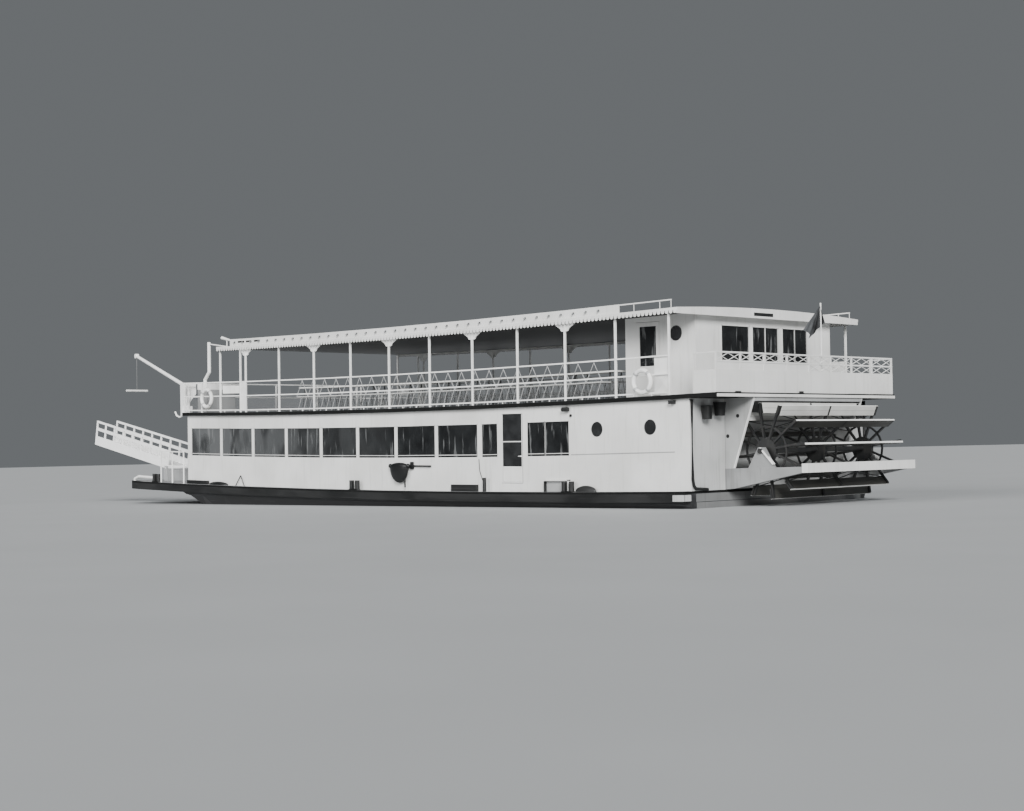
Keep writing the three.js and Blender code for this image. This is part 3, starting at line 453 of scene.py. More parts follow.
# %% Paint the nodes
# Each row is a finish and the beginnings of the names that take it
PAINTED = (
    (hull_bitumen, "hull"), (strake_bitumen, "guard_strake"), (edge_paint, "main_deck", "upper_deck"),
    (steel_paint, "paddle_wheel", "rudder", "side_door"), (transom_enamel, "spreader"),
    # The stern arm and shaft bearing take this grey as painted shade.
    (arm_enamel, "shaft_bearing", "stern_arm", "helm_console"),
    # The wing plates and the aft house wall are greyed as painted shade.
    (shaded_quarter_enamel, "wing_plate", "house_wall_aft"),
    # The balcony beam takes the mid grey as painted shade under the balcony.
    (grey_enamel, "engine_block", "balcony_beam", "stage_stand", "stair"),
    (rail_enamel, "colonnade", "bow_rail", "bow_toe_rail", "lifebuoy", "foredeck_rail", "vent_pipe"),
    (fresh_enamel, "landing_stage", "boom", "davit_stand"),
)
finishes = {name: finish for finish, *names in PAINTED for name in names}
for name, node_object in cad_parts.items():
    matches = [key for key in finishes if name.startswith(key)]
    finish = finishes[max(matches, key=len)] if matches else white_enamel
    if not node_object.material_slots:
        node_object.data.materials.append(finish)
    for material_slot in node_object.material_slots:
        material_slot.material = finish
print("painted", len(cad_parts), "nodes")

# %% [markdown]
# ## Camera
# The camera stands off the port quarter, a little above the water, as in the photograph. It was
# solved from the straight deck lines, the window bays and the posts.

# %% Camera
SIGHT = Vector((-39.679, 37.008, 2.963))
YAW, PITCH, ROLL = (math.radians(angle) for angle in (45.103, 1.082, -0.785))
SENSOR_MM, LENS_MM, FARTHEST = 36.0, 58.71, 2000.0
lens = bpy.data.cameras.new("camera")
lens.sensor_width, lens.lens, lens.clip_end = SENSOR_MM, LENS_MM, FARTHEST
camera = new_object("camera", lens)
camera.matrix_world = Matrix.Translation(SIGHT)
for angle, axis in ((YAW + math.pi, "Z"), (PITCH + math.pi / 2, "X"), (ROLL, "Z")):
    camera.matrix_world = camera.matrix_world @ Matrix.Rotation(angle, 4, axis)
bpy.context.scene.camera = camera
print("camera", round(SIGHT.length, 1), "m away, lens", LENS_MM, "mm")

# %% [markdown]
# ## Still water
# The boat floats, so the floor stands in for the water and cuts the hull at its waterline. She
# trims by the stern: the water lies about 0.8 m above the bottom forward and 1.1 m aft, and the
# floor is tipped by that much.

# %% Floor
WATER_Z, TRIM, FLOOR_HALF = 0.905, math.atan(0.0134), 700
floor_mesh = bmesh.new()
waterline = Matrix.Translation((0, 0, WATER_Z)) @ Matrix.Rotation(TRIM, 4, "Y")
bmesh.ops.create_grid(floor_mesh, x_segments=1, y_segments=1, size=FLOOR_HALF, matrix=waterline)
floor_paint, surface, place = shader("grey_studio_floor")
mottle = noise(place, 3000, 2.0)
feed(surface, {"Base Color": blend_colours(mottle, "#a3a5a6", "#acaeaf"), "Roughness": 0.7})
floor_data = bpy.data.meshes.new("floor")
floor_mesh.to_mesh(floor_data)
floor_mesh.free()
floor_data.materials.append(floor_paint)
new_object("floor", floor_data)
print("waterline", WATER_Z, "m above the bottom amidships")

# %% [markdown]
# ## Sky and sun
# The photograph was taken in soft daylight. A wide sun gives gentle shadows under the roof, a
# weaker one opens the side of the house, and a grey sky lights the rest.

# %% Sky and sun
SKY_STRENGTH = 0.62
world = bpy.data.worlds.new("sky")
world.use_nodes = True
sky = world.node_tree.nodes["Background"]
feed(sky, {"Color": paint_colour("#85898c"), "Strength": SKY_STRENGTH})
bpy.context.scene.world = world


def sun(name, source, energy, angle):
    lamp = bpy.data.lights.new(name, "SUN")
    lamp.energy, lamp.angle = energy, math.radians(angle)
    new_object(name, lamp).rotation_euler = Vector(source).to_track_quat("Z", "Y").to_euler()


sun("key", (-0.66, 0.52, 0.43), 5.6, 25)
sun("fill", (0.25, 1.0, 0.45), 1.7, 40)
print("sky and two suns ready")

# %% [markdown]
# ## Saloon windows
# Each window is a sheet of glass bedded near the outer face of the wall and held by a flat bead,
# which makes the posts between the panes look broader than they are. Inside, slim bars part each
# wide pane in three and a white rail runs just above the sill. A table keeps the odd panes by the
# doors in the same loop as the row.

# %% Window table
JAMB, END_JAMB, BEAD = 0.028, 0.010, 0.036
# Columns: after edge, fore edge, and the bead on each
panes = []
for i in range(8):
    fore = FIRST_PANE - i * PANE_BAY
    panes.append((fore - PANE_BAY + JAMB, fore - (JAMB if i else END_JAMB), BEAD, BEAD))
panes += [(-5.900, -5.230, 0.020, 0.020), (-7.730, -7.060, 0.0, 0.012), (-8.670, -7.770, 0.012, 0.0)]
print(len(panes), "panes a side")

# %% Saloon glass, beads and bars
STRIP_Y, BEAD_Y, GLASS_Y = (HULL_HALF, HULL_HALF + 0.002), (3.926, 3.9405), (3.920, 3.926)
BAR_Y, INNER_RAIL_Y = (3.900, 3.918), (3.820, 3.850)
LAP, WIDE_PANE, BAR_HALF, STRIP_HALF = 0.004, 1.2, 0.009, 0.010
glass, frames, bars, covers = meshes(4)
for side in SIDES:
    for aft, fore, aft_bead, fore_bead in panes:
        side_board(glass, side, aft - LAP, fore + LAP, *GLASS_Y, PANE_LOW - LAP, PANE_HIGH + LAP)
        for z0, z1 in ((PANE_LOW + 0.058, PANE_LOW + 0.074), (PANE_HIGH - 0.016, PANE_HIGH)):
            side_board(frames, side, aft, fore, *BEAD_Y, z0, z1)
        for x0, x1 in ((aft, aft + aft_bead), (fore - fore_bead, fore)):
            if x1 > x0:
                side_board(frames, side, x0, x1, *BEAD_Y, PANE_LOW, PANE_HIGH)
        if fore - aft > WIDE_PANE:
            for share in (1 / 3, 2 / 3):
                x = aft + share * (fore - aft)
                side_board(bars, side, x - BAR_HALF, x + BAR_HALF, *BAR_Y, PANE_LOW, PANE_HIGH)
    for x in (-7.7645, -7.7355):
        side_board(covers, side, x - STRIP_HALF, x + STRIP_HALF, *STRIP_Y, PANE_LOW, PANE_HIGH)
    for x0, x1 in ((-8.60, -7.10), (-5.20, HOUSE_FRONT - 0.08)):
        side_board(bars, side, x0, x1, *INNER_RAIL_Y, DECK + 1.035, DECK + 1.075)
piece("saloon_glass", glass, float_glass)
piece("dark_mullion_strips", covers, port_glass)
piece("saloon_window_frames", frames, white_enamel)
piece("saloon_inner_bars", bars, rail_enamel)

# %% [markdown]
# ## Windows that look fore and aft
# The forward wall has four panes beside its door, and the after cabin three over the wheel. Each
# is let into the wall with four bars over its edge, so one function makes them all. The cabin's
# own forward panes have no bars.

# %% Forward windows
PANE_THICK, REBATE, FRAME_HALF, OVERLAP = 0.006, 0.008, 0.012, 0.020


def cross_window(glass, frames, glass_x, frame_x, y0, y1, low, high):
    """A pane and its four bars, in a wall that stands across the boat."""
    board(glass, glass_x, glass_x + PANE_THICK, y0 - REBATE, y1 + REBATE, low - REBATE, high + REBATE)
    for z in (low, high):
        board(frames, *frame_x, y0 - OVERLAP, y1 + OVERLAP, z - FRAME_HALF, z + FRAME_HALF)
    for y in (y0, y1):
        board(frames, *frame_x, y - FRAME_HALF, y + FRAME_HALF, low - OVERLAP, high + OVERLAP)


glass, frames = meshes(2)
frame_x = (HOUSE_FRONT - 0.055, HOUSE_FRONT + 0.004)
for y0, y1 in ((-3.5, -2.0), (-1.8, -0.9), (0.9, 1.8), (2.0, 3.5)):
    cross_window(glass, frames, HOUSE_FRONT - 0.030, frame_x, y0, y1, PANE_LOW, PANE_HIGH)
piece("forward_glass", glass, float_glass)
piece("forward_window_frames", frames, white_enamel)

# %% Cabin windows
CABIN_LOW, CABIN_HIGH = UPPER + 0.930, UPPER + 1.870
# Columns: starboard edge, port edge, whether a bar parts the pane
AFT_PANES = ((-1.930, -0.750, True), (-0.570, 0.610, True), (0.740, 1.960, False))
glass, bars = meshes(2)
frame_x = (CABIN_AFT - 0.012, CABIN_AFT + 0.030)
for y0, y1, parted in AFT_PANES:
    cross_window(glass, bars, CABIN_AFT + 0.022, frame_x, y0, y1, CABIN_LOW, CABIN_HIGH)
    if parted:
        y = (y0 + y1) / 2
        board(bars, CABIN_AFT - 0.004, CABIN_AFT + 0.020, y - 0.007, y + 0.007, CABIN_LOW, CABIN_HIGH)
for side in SIDES:
    side_board(glass, side, CABIN_FRONT - 0.028, CABIN_FRONT - 0.022, 0.7 - REBATE, 2.2 + REBATE,
               UPPER + 0.942, UPPER + 1.758)
piece("cabin_glass", glass, float_glass)
piece("cabin_window_bars", bars, white_enamel)

# %% [markdown]
# ## Portholes
# The engine room and the after cabin are lit by round ports in turned rims. A rim is a small
# circle spun once round the port's axis, and the pane is a disc behind it.

# %% Portholes
# Columns: x, the wall's outer face, height
PORTS = (
    (-9.690, HULL_HALF, DECK + 1.670),
    (-11.550, HULL_HALF, DECK + 1.670),
    (-11.720, CABIN_HALF, UPPER + 1.660),
)
RIM_RADIUS, RIM_TUBE, DISC_RADIUS, ROUND = 0.192, 0.011, 0.188, 28
rims, discs = meshes(2)
for side in SIDES:
    for x, wall, z in PORTS:
        ring(rims, (x, side * (wall + 0.002), z), (0, 1, 0), RIM_RADIUS, RIM_TUBE, steps=ROUND)
        pipe(discs, *flip(side, (x, wall - 0.004, z), (x, wall + 0.003, z)), DISC_RADIUS, ROUND)
piece("porthole_rims", rims, steel_paint, smooth=True)
piece("porthole_glass", discs, port_glass)

# %% [markdown]
# ## Glass and mouldings on the doors
# A side door has a tall dark pane over a moulded foot panel, a cabin door a pane let into the
# leaf, and both a lever handle. These parts ride on the leaf and swing with it, so they are lifted
# once, by the sheer at the hinge, and stay straight.

# %% Side door parts
def side_door_parts(glass, trim, side, aft, fore, base):
    skin, bead = (HULL_HALF, HULL_HALF + 0.004), (HULL_HALF + 0.004, HULL_HALF + 0.010)
    pane_aft, pane_fore, bead_aft, bead_fore = aft - 0.085, fore + 0.065, aft - 0.04, fore + 0.04
    side_board(glass, side, pane_aft, pane_fore, HULL_HALF - 0.004, HULL_HALF + 0.002,
               base + 0.715, base + 2.170)
    side_board(trim, side, aft - 0.108, fore + 0.108, *skin, base + 0.252, base + 0.712)
    for x0, x1 in ((aft - 0.108, pane_aft), (pane_fore, fore + 0.108)):
        side_board(trim, side, x0, x1, *skin, base + 0.712, base + 2.178)
    side_board(trim, side, pane_aft, pane_fore, *skin, base + 1.396, base + 1.424)
    for z in (base + 0.300, base + 0.672):
        side_board(trim, side, bead_aft, bead_fore, *bead, z - 0.008, z + 0.008)
    for x in (bead_aft, bead_fore):
        side_board(trim, side, x - 0.008, x + 0.008, *bead, base + 0.292, base + 0.680)


# %% Glass and mouldings on the doors
STILE, HINGE_GAP, HANDLE_Z = 0.110, 0.0003, 1.0
# Columns: door, hinge x, outer face, leaf width, floor, glass
LEAVES = (
    ("side_door", -6.0603, HULL_HALF, 0.8197, DECK, port_glass),
    ("cabin_door", -10.3503, CABIN_HALF, 0.7897, UPPER, float_glass),
)
for door, hinge_x, face, width, floor_z, pane in LEAVES:
    fore, aft = hinge_x - STILE, hinge_x - width + STILE
    base = floor_z + sheer(hinge_x + HINGE_GAP)
    for side in SIDES:
        body = ("port_" if side > 0 else "starboard_") + door
        glass, trim = meshes(2)
        if door == "side_door":
            side_door_parts(glass, trim, side, aft, fore, base)
        else:
            side_board(glass, side, aft - 0.006, fore + 0.006, face - 0.023, face - 0.017,
                       base + 0.844, base + 1.916)
        x, y, z = aft - 0.07, face + 0.035, base + HANDLE_Z
        side_board(trim, side, x - 0.015, x + 0.015, face, y, z - 0.02, z + 0.02)
        pipe(trim, *flip(side, (x, y, z), (x + 0.10, y, z)), 0.010)
        piece(body + "_glass", glass, pane, body=body)
        piece(body + "_trim", trim, white_enamel, body=body)

# %% [markdown]
# ## Rail netting
# Wire netting fills the space between the two lower rails, so that nothing slips overboard. Its
# diamonds are 70 mm wide. They are drawn as real wires, a little thicker than life, so that the
# netting reads as a grey veil from the bank.

# %% Rail netting
NET_AFT, WIRES, DIAMOND, WIRE_RADIUS, CROSSING = -12.240, 305, 0.070, 0.0022, 0.003
netting = bmesh.new()
net_low, net_high = RAIL_LOW + 0.015, RAIL_MID - 0.015
rise = net_high - net_low
for side in SIDES:
    for k in range(WIRES):
        x = NET_AFT + k * DIAMOND
        for y, a, b in ((side * POST_Y - CROSSING, x, x + rise), (side * POST_Y + CROSSING, x + rise, x)):
            pipe(netting, (a, y, net_low), (b, y, net_high), WIRE_RADIUS, sides=4)
piece("rail_netting", netting, net_wire)

# %% [markdown]
# ## Ceiling and deck covering
# The roof is lined below with boards laid fore and aft. Their dark tint is partly their dark
# varnish and partly painted shade, the deep shade over the promenade. Both decks are covered with
# gritted paint up to their black edges. All are thin sheets laid on the frame, and cut at the
# bending stations like the rest.

# %% Ceiling and deck covering
LINING_AFT, LINING_MEET = ROOF_AFT + 0.05, CABIN_FRONT + 0.01
STAIR_FORE, STAIR_AFT, SEAM = -6.295, -8.700, 0.005
# Columns: x from, x to, y from, y to
LININGS = (
    (LINING_MEET, ROOF_FRONT - 0.02, -3.945, 3.945),
    (LINING_AFT, LINING_MEET, 3.045, 3.945),
    (LINING_AFT, LINING_MEET, -3.945, -3.045),
)
UPPER_COVERS = (
    (STAIR_FORE + SEAM, UPPER_FRONT - 0.03, -4.0, 4.0),
    (STAIR_AFT + SEAM, STAIR_FORE - SEAM, -2.695, 4.0),
    (STAIR_AFT + SEAM, STAIR_FORE - SEAM, -4.0, -3.705),
    (UPPER_AFT + 0.09, STAIR_AFT - SEAM, -4.0, 4.0),
)
DECK_COVERS = ((STERN + 0.05, 12.30, -4.16, 4.16), (12.30, 13.02, -3.92, 3.92))
lining, covering = meshes(2)
for patch in LININGS:
    board(lining, *patch, ROOF_UNDER - 0.004, ROOF_UNDER - 0.001)
for floor_z, patches in ((UPPER, UPPER_COVERS), (DECK, DECK_COVERS)):
    for patch in patches:
        board(covering, *patch, floor_z + 0.001, floor_z + 0.003)
piece("roof_lining", lining, shaded_ceiling_board)
piece("deck_covering", covering, deck_paint)

# %% [markdown]
# ## Dark faces behind the scallops
# The beam that carries the roof edge stands just behind the scalloped boards. Between the posts
# its faces carry black sheets, which are painted shade, the shadow under the roof edge, so that
# the white scallops stand out against it. The knees and posts stay white.

# %% Beam faces
POSTS = [7.480, 6.325] + [FIRST_POST - i * BAY for i in range(11)]
KNEES = [FIRST_POST - i * BAY for i in range(0, 10, 2)]
POST_CLEAR, KNEE_CLEAR, BEAM_AFT = 0.026, 0.345, FIRST_POST - 10 * BAY - 0.058
shade = bmesh.new()
clear = ((POST_CLEAR, POSTS), (KNEE_CLEAR, KNEES))
stops = sorted((x - gap, x + gap) for gap, row in clear for x in row)
for side in SIDES:
    at = BEAM_AFT
    for low, high in stops + [(ROOF_FRONT - 0.082, ROOF_FRONT)]:
        if low > at:
            # Black sheets between the posts: painted shade under the roof edge.
            side_board(shade, side, at, low, 4.0168, 4.0185, ROOF_UNDER - 0.0815, ROOF_UNDER - 0.002)
            side_board(shade, side, at, low, 3.9530, 4.0185, ROOF_UNDER - 0.0820, ROOF_UNDER - 0.0798)
        at = max(at, high)
piece("painted_shade_beam_faces", shade, edge_paint)

# %% [markdown]
# ## Scalloped fringe
# Each roof edge is trimmed with a sawn fringe: a row of round tongues, about 135 mm apart, nailed
# over the scalloped board that the frame has. A thin disc makes each tongue, because only its
# lower half shows.

# %% Fringe
TONGUES, TONGUE_RADIUS, TONGUE_Z = 150, 0.056, ROOF_UNDER - 0.030
TONGUE_Y = (ROOF_HALF + 0.0185, ROOF_HALF + 0.0225)
fringe = bmesh.new()
for side in SIDES:
    for k in range(TONGUES):
        x = ROOF_AFT + (k + 0.5) * (ROOF_FRONT - ROOF_AFT) / TONGUES
        pipe(fringe, *flip(side, *((x, y, TONGUE_Z) for y in TONGUE_Y)), TONGUE_RADIUS, 14)
piece("scalloped_fringe", fringe, white_enamel)

# %% [markdown]
# ## Bulbs along the roof
# A string of bulbs runs along the board at each roof edge. Unlit, each one is a dark socket with a
# small grey globe.

# %% Bulb string
BULBS, FIRST_BULB, BULB_PITCH, GLOBE_RADIUS = 37, 6.55, 0.457, 0.028
BOARD_Y = ROOF_HALF - 0.040
sockets, globes = meshes(2)
for side in SIDES:
    for k in range(BULBS):
        x = FIRST_BULB - k * BULB_PITCH
        foot, mouth, globe = flip(side, (x, BOARD_Y, 0.130), (x, BOARD_Y + 0.030, 0.115),
                                  (x, BOARD_Y + 0.045, 0.105), base=ROOF_EDGE)
        pipe(sockets, foot, mouth, 0.026, 10)
        lump(globes, globe, [GLOBE_RADIUS] * 3, 10, 8)
piece("bulb_sockets", sockets, steel_paint)
piece("bulb_globes", globes, bulb_glass, smooth=True)

# %% [markdown]
# ## Tables and folding chairs
# Trestle tables stand along the promenade, with folding chairs between them and the rail. Both
# are light pipe frames that fold flat. A chair's back is one pale pipe, bent in the middle, so
# that the row of backs makes a zigzag under the top rail. Its crossing legs are pale by the rail,
# and those behind are dark, which is painted shade.

# %% Tables
TABLES, FIRST_TABLE, TABLE_PITCH, TABLE_LENGTH, TABLE_Z = 8, 4.27, 1.74, 1.70, UPPER + 0.800
tops, legs = meshes(2)
for side in SIDES:
    for k in range(TABLES):
        fore = FIRST_TABLE - k * TABLE_PITCH
        aft = fore - TABLE_LENGTH
        side_board(tops, side, aft, fore, 2.50, 3.12, TABLE_Z - 0.040, TABLE_Z)
        for x in (aft + 0.22, fore - 0.22):
            for y in (2.58, 3.04):
                for lean in (-0.16, 0.16):
                    pipe(legs, *flip(side, (x + lean, y, 0), (x, y, 0.77), base=UPPER), 0.011, 6)
piece("promenade_tables", tops, table_top)
piece("table_trestles", legs, steel_paint)

# %% Folding chairs
CHAIRS, FIRST_CHAIR, CHAIR_PITCH = 23, 3.40, 0.58
BACK_Y, FRONT_Y, SEAT_Z, BACK_Z, LEG_LEAN = 3.66, 3.28, 0.47, 1.00, 0.10
chair_frames, shaded_chair_legs, slats = meshes(3)
for side in SIDES:
    for k in range(CHAIRS):
        x = FIRST_CHAIR - k * CHAIR_PITCH
        back = [(x - 0.285, BACK_Y, 0.49), (x, BACK_Y, BACK_Z), (x + 0.285, BACK_Y, 0.49)]
        bent_pipe(chair_frames, flip(side, *back, base=UPPER), 0.011, 6)
        for middle in (x - 0.14, x + 0.14):
            aft, fore = middle - LEG_LEAN, middle + LEG_LEAN
            pipe(chair_frames, *flip(side, (fore, BACK_Y, 0), (aft, BACK_Y, SEAT_Z), base=UPPER), 0.010, 6)
            # The inboard legs are dark as painted shade.
            pipe(shaded_chair_legs, *flip(side, (aft, FRONT_Y, 0), (fore, FRONT_Y, SEAT_Z), base=UPPER), 0.009, 6)
        side_board(slats, side, x - 0.27, x + 0.27, 3.27, 3.68, UPPER + 0.462, UPPER + 0.482)
piece("chair_frames", chair_frames, galvanised_wire)
piece("shaded_chair_legs", shaded_chair_legs, steel_paint)
piece("chair_slats", slats, table_top)

# %% [markdown]
# ## Paddle wheel planks
# Each paddle is a pair of sawn planks bolted to the spokes of the three frames. They are laid on
# the frame's own boards, with a gap where each spoke crosses, and ride on the wheel so that they
# turn with it. The front faces of the boards at the top are pale, which is painted light, and
# those of the others dark, which is painted shade; the back faces are dark because they are wet.

# %% Wheel planks
PADDLES, FIRST_ANGLE, SUNLIT_PADDLES = 12, 69, (0, 10, 11)
FRAME_Y, SPOKE_HALF, PLANKS = 2.190, 0.038, ((0.976, 1.106), (1.112, 1.2425))
dry, wet_and_shaded, edge = meshes(3)
for k in range(PADDLES):
    turn = math.radians(FIRST_ANGLE - 360 / PADDLES * k)
    place = Matrix.Translation((WHEEL_X, 0, WHEEL_Z)) @ Matrix.Rotation(turn - math.pi / 2, 4, "Y")
    # Front faces: painted light at the top and painted shade elsewhere; the back faces are wet.
    faces = ((dry if k in SUNLIT_PADDLES else wet_and_shaded, -0.0420, -0.0385), (wet_and_shaded, -0.0020, 0.0018))
    for bm, x0, x1 in faces:
        for side in SIDES:
            for r0, r1 in PLANKS:
                made = side_board(bm, side, x0, x1, SPOKE_HALF, FRAME_Y - SPOKE_HALF, r0, r1)
                bmesh.ops.transform(bm, matrix=place, verts=made)
    made = board(edge, -0.0425, 0.0022, -WHEEL_HALF - 0.0015, WHEEL_HALF + 0.0015, 1.2430, 1.2462)
    bmesh.ops.transform(edge, matrix=place, verts=made)
piece("sunlit_planks", dry, sunlit_plank, body="wheel")
piece("wet_and_shaded_planks", wet_and_shaded, wet_and_shaded_plank, body="wheel")
piece("plank_edges", edge, painted_edge, body="wheel")

# %% [markdown]
# ## Fittings along the side
# The port side carries its working gear: lamps, fenders, vents and corner boards, each screwed to
# the wall or stood on the side deck, and the starboard side is taken to be fitted the same way.
# Tables list them by tint, so that a few short loops make them all.

# %% Side wall fittings
# Columns: x from, x to, foot and head above the deck, how far it stands off the wall
WHITE_ITEMS = (
    (-7.790, -8.700, 0.300, 0.335, 0.100),
    (-8.665, -8.700, 0.000, 0.335, 0.100),
    (-12.490, -12.858, 0.010, 2.350, 0.006),
    (HOUSE_FRONT - 0.002, HOUSE_FRONT - 0.160, 0.010, 2.350, 0.006),
)
DARK_ITEMS = (
    (9.450, 8.260, 0.000, 0.130, 0.110),
    (-4.030, -5.090, 0.000, 0.200, 0.100),
    (-7.780, -7.815, 0.000, 0.300, 0.100),
    (-12.250, -12.420, 2.240, 2.330, 0.110),
)
GREY_ITEMS = (
    (-8.730, -12.370, 0.998, 1.022, 0.010),
    (-7.815, -8.665, 0.010, 0.300, 0.020),
)
# Columns: both ends, with heights above the deck, radius, sides
DARK_PIPES = (
    ((-5.48, 4.08, 0), (-5.48, 4.08, 0.40), 0.055, 12),
    ((-8.50, 4.02, 2.24), (-8.72, 4.02, 2.24), 0.060, 12),
    ((-8.60, 3.93, 2.30), (-8.60, 4.02, 2.28), 0.015, 8),
    ((-8.75, 3.94, 2.07), (-8.75, 3.97, 2.07), 0.040, 12),
    ((6.65, 4.00, 0), (6.40, 3.97, 0.35), 0.014, 8),
    ((6.15, 4.00, 0), (6.40, 3.97, 0.35), 0.014, 8),
)
HOSE = ((-5.13, 3.952, 0.93), (-5.16, 3.952, 0.60), (-5.26, 3.952, 0.35), (-5.32, 3.952, 0.22))
light, dark, middle = meshes(3)
for side in SIDES:
    for bm, items in ((light, WHITE_ITEMS), (dark, DARK_ITEMS), (middle, GREY_ITEMS)):
        for x0, x1, foot, head, depth in items:
            side_board(bm, side, x0, x1, HULL_HALF, HULL_HALF + depth, DECK + foot, DECK + head)
    for a, b, radius, count in DARK_PIPES:
        pipe(dark, *flip(side, a, b, base=DECK), radius, count)
    bent_pipe(dark, flip(side, *HOSE, base=DECK), 0.010)
for bm in (light, dark, middle):
    soften(bm, 0.002)
piece("side_white_fittings", light, white_enamel)
piece("side_dark_fittings", dark, strake_bitumen)
piece("side_mouldings", middle, grey_enamel)

# %% [markdown]
# ## Fore deck trim
# A top sits on the helm console, boards fill short stretches of the rail, and a hook is bent from
# round bar below the davit. A stay steadies the vent pipe and carries a small horn. The top and
# the boards follow the deck, so only they are lifted by the sheer.

# %% Helm top, rail boards and davit hook
HOOK_Y = 3.700
HOOK_XZ = ((10.150, 3.960), (10.240, 3.860), (10.400, 3.830), (10.560, 3.880), (10.660, 4.020))
fore_trim = bmesh.new()
board(fore_trim, 8.996, 9.554, 2.296, 3.504, UPPER + 0.800, UPPER + 1.005)
for side in SIDES:
    side_board(fore_trim, side, 6.450, 7.430, 3.900, 3.925, UPPER + 0.640, UPPER + 0.900)
    side_board(fore_trim, side, -11.740, -12.230, 3.940, 3.960, UPPER + 0.100, UPPER + 1.000)
lift(fore_trim)
bent_pipe(fore_trim, [(x, HOOK_Y, z) for x, z in HOOK_XZ], 0.032, 10)
piece("rail_boards_and_hook", fore_trim, rail_enamel, bent=False)

# %% Vent stay, horn and spreader sleeve
VENT_Y, SPREADER_X, SPREADER_Z = 3.300, 14.637, 4.8936
stay, sleeve = meshes(2)
pipe(stay, (9.120, VENT_Y, 6.360), (7.555, VENT_Y, 6.150), 0.020)
pipe(stay, (8.050, VENT_Y, 6.210), (8.050, VENT_Y, 6.480), 0.018)
pipe(stay, (7.860, VENT_Y, 6.430), (8.340, VENT_Y, 6.535), 0.032, 14, far=0.055)
piece("vent_stay_and_horn", stay, rail_enamel, bent=False)
pipe(sleeve, (SPREADER_X, 2.290, SPREADER_Z), (SPREADER_X, 3.198, SPREADER_Z), 0.036, 12)
piece("spreader_sleeve", sleeve, rail_enamel, body="spreader")

# %% [markdown]
# ## Bundles, corner pipes and bollards
# Two dark canvas bundles lie on each side deck, a drain pipe runs down each stern corner, and
# mooring lines go to pairs of bollards. A stretched ball is enough for a bundle, since only its
# rounded top is seen.

# %% Bundles and the corner pipe
DRAIN_X = -12.907
DRAIN_YZ = ((3.895, 2.33), (3.895, 0.30), (3.860, 0.14), (3.780, 0.06), (3.300, 0.03))
bundles = bmesh.new()
for side in SIDES:
    lump(bundles, (-9.34, side * 4.03, DECK + 0.01), (0.38, 0.09, 0.16))
    lump(bundles, (7.60, side * 4.02, DECK + 0.02), (0.55, 0.08, 0.10))
    bent_pipe(bundles, flip(side, *((DRAIN_X, y, z) for y, z in DRAIN_YZ), base=DECK), 0.040, 10)
piece("bundles_and_corner_pipes", bundles, strake_bitumen, smooth=True)

# %% Bollard sleeves
BOLLARD_X, BOLLARD_Y, POST_APART = (0.300, -8.730, 11.300), 4.080, 0.135
sleeves = bmesh.new()
for x in BOLLARD_X:
    for side in SIDES:
        for at in (x - POST_APART, x + POST_APART):
            pipe(sleeves, *flip(side, (at, BOLLARD_Y, 0.022), (at, BOLLARD_Y, 0.290), base=DECK), 0.074, 16)
piece("bollard_sleeves", sleeves, strake_bitumen)

# %% [markdown]
# ## Fire bag, axe and buckets
# A tarred canvas fire bag hangs on the house side by two ears, with a strap below and an axe
# beside it. It is a ball whose upper half is pressed nearly flat, for the straight top edge of a
# hung bag. Two buckets hang at each stern corner, and each wing plate has two dark holes.

# %% Fire bag, axe and wall buckets
BAG_X, BAG_Z, FLAT_TOP = -1.76, DECK + 0.72, 0.25
AXE_Y, BUCKET_X, BUCKET_DROP = HULL_HALF + 0.04, -13.02, 0.17
tools = bmesh.new()
for side in SIDES:
    y = side * (HULL_HALF + 0.10)
    for vert in lump(tools, (BAG_X, y, BAG_Z), (0.42, 0.09, 0.49)):
        if vert.co.z > BAG_Z:
            vert.co.z = BAG_Z + (vert.co.z - BAG_Z) * FLAT_TOP
    for x in (BAG_X + 0.40, BAG_X - 0.40):
        lump(tools, (x, y, BAG_Z + 0.02), (0.07, 0.06, 0.07))
    pipe(tools, (-2.00, y, DECK + 0.45), (-2.02, y, DECK + 0.10), 0.024)
    pipe(tools, *flip(side, (-3.10, AXE_Y, 0.73), (-2.22, AXE_Y, 0.74), base=DECK), 0.026)
    side_board(tools, side, -2.33, -2.20, AXE_Y - 0.025, AXE_Y + 0.015, DECK + 0.64, DECK + 0.86)
lift(tools)
for side in SIDES:
    for y, z, radius in ((3.420, 3.520, 0.150), (2.900, 3.610, 0.160)):
        foot, brim = flip(side, (BUCKET_X, y, z - BUCKET_DROP), (BUCKET_X, y, z + BUCKET_DROP))
        pipe(tools, foot, brim, radius * 0.8, 20, far=radius)
        ring(tools, brim, (0, 0, 1), radius, 0.012)
    for x, z in ((-13.27, 3.43), (-12.94, 2.91)):
        pipe(tools, *flip(side, (x, 2.480, z), (x, 2.486, z)), 0.050, 16)
piece("fire_tools", tools, strake_bitumen, bent=False)

# %% [markdown]
# ## Lifebuoy bands and lines
# A lifebuoy has four bands that hold a grab line standing off its outer edge. The bands are short
# sleeves round the tube, and the line is a thin pipe bent from band to band.

# %% Lifebuoy dressing
BUOYS = ((8.190, UPPER + 0.485), (-11.400, UPPER + 0.390))
BUOY_Y = POST_Y + 0.018 + 0.060 + 0.0003
BUOY_RADIUS, BAND_HALF, LINE_RADIUS, LINE_SLACK = 0.290, 0.035, 0.352, 0.020


def spoke(angle):
    return Vector((math.cos(angle), 0, math.sin(angle)))


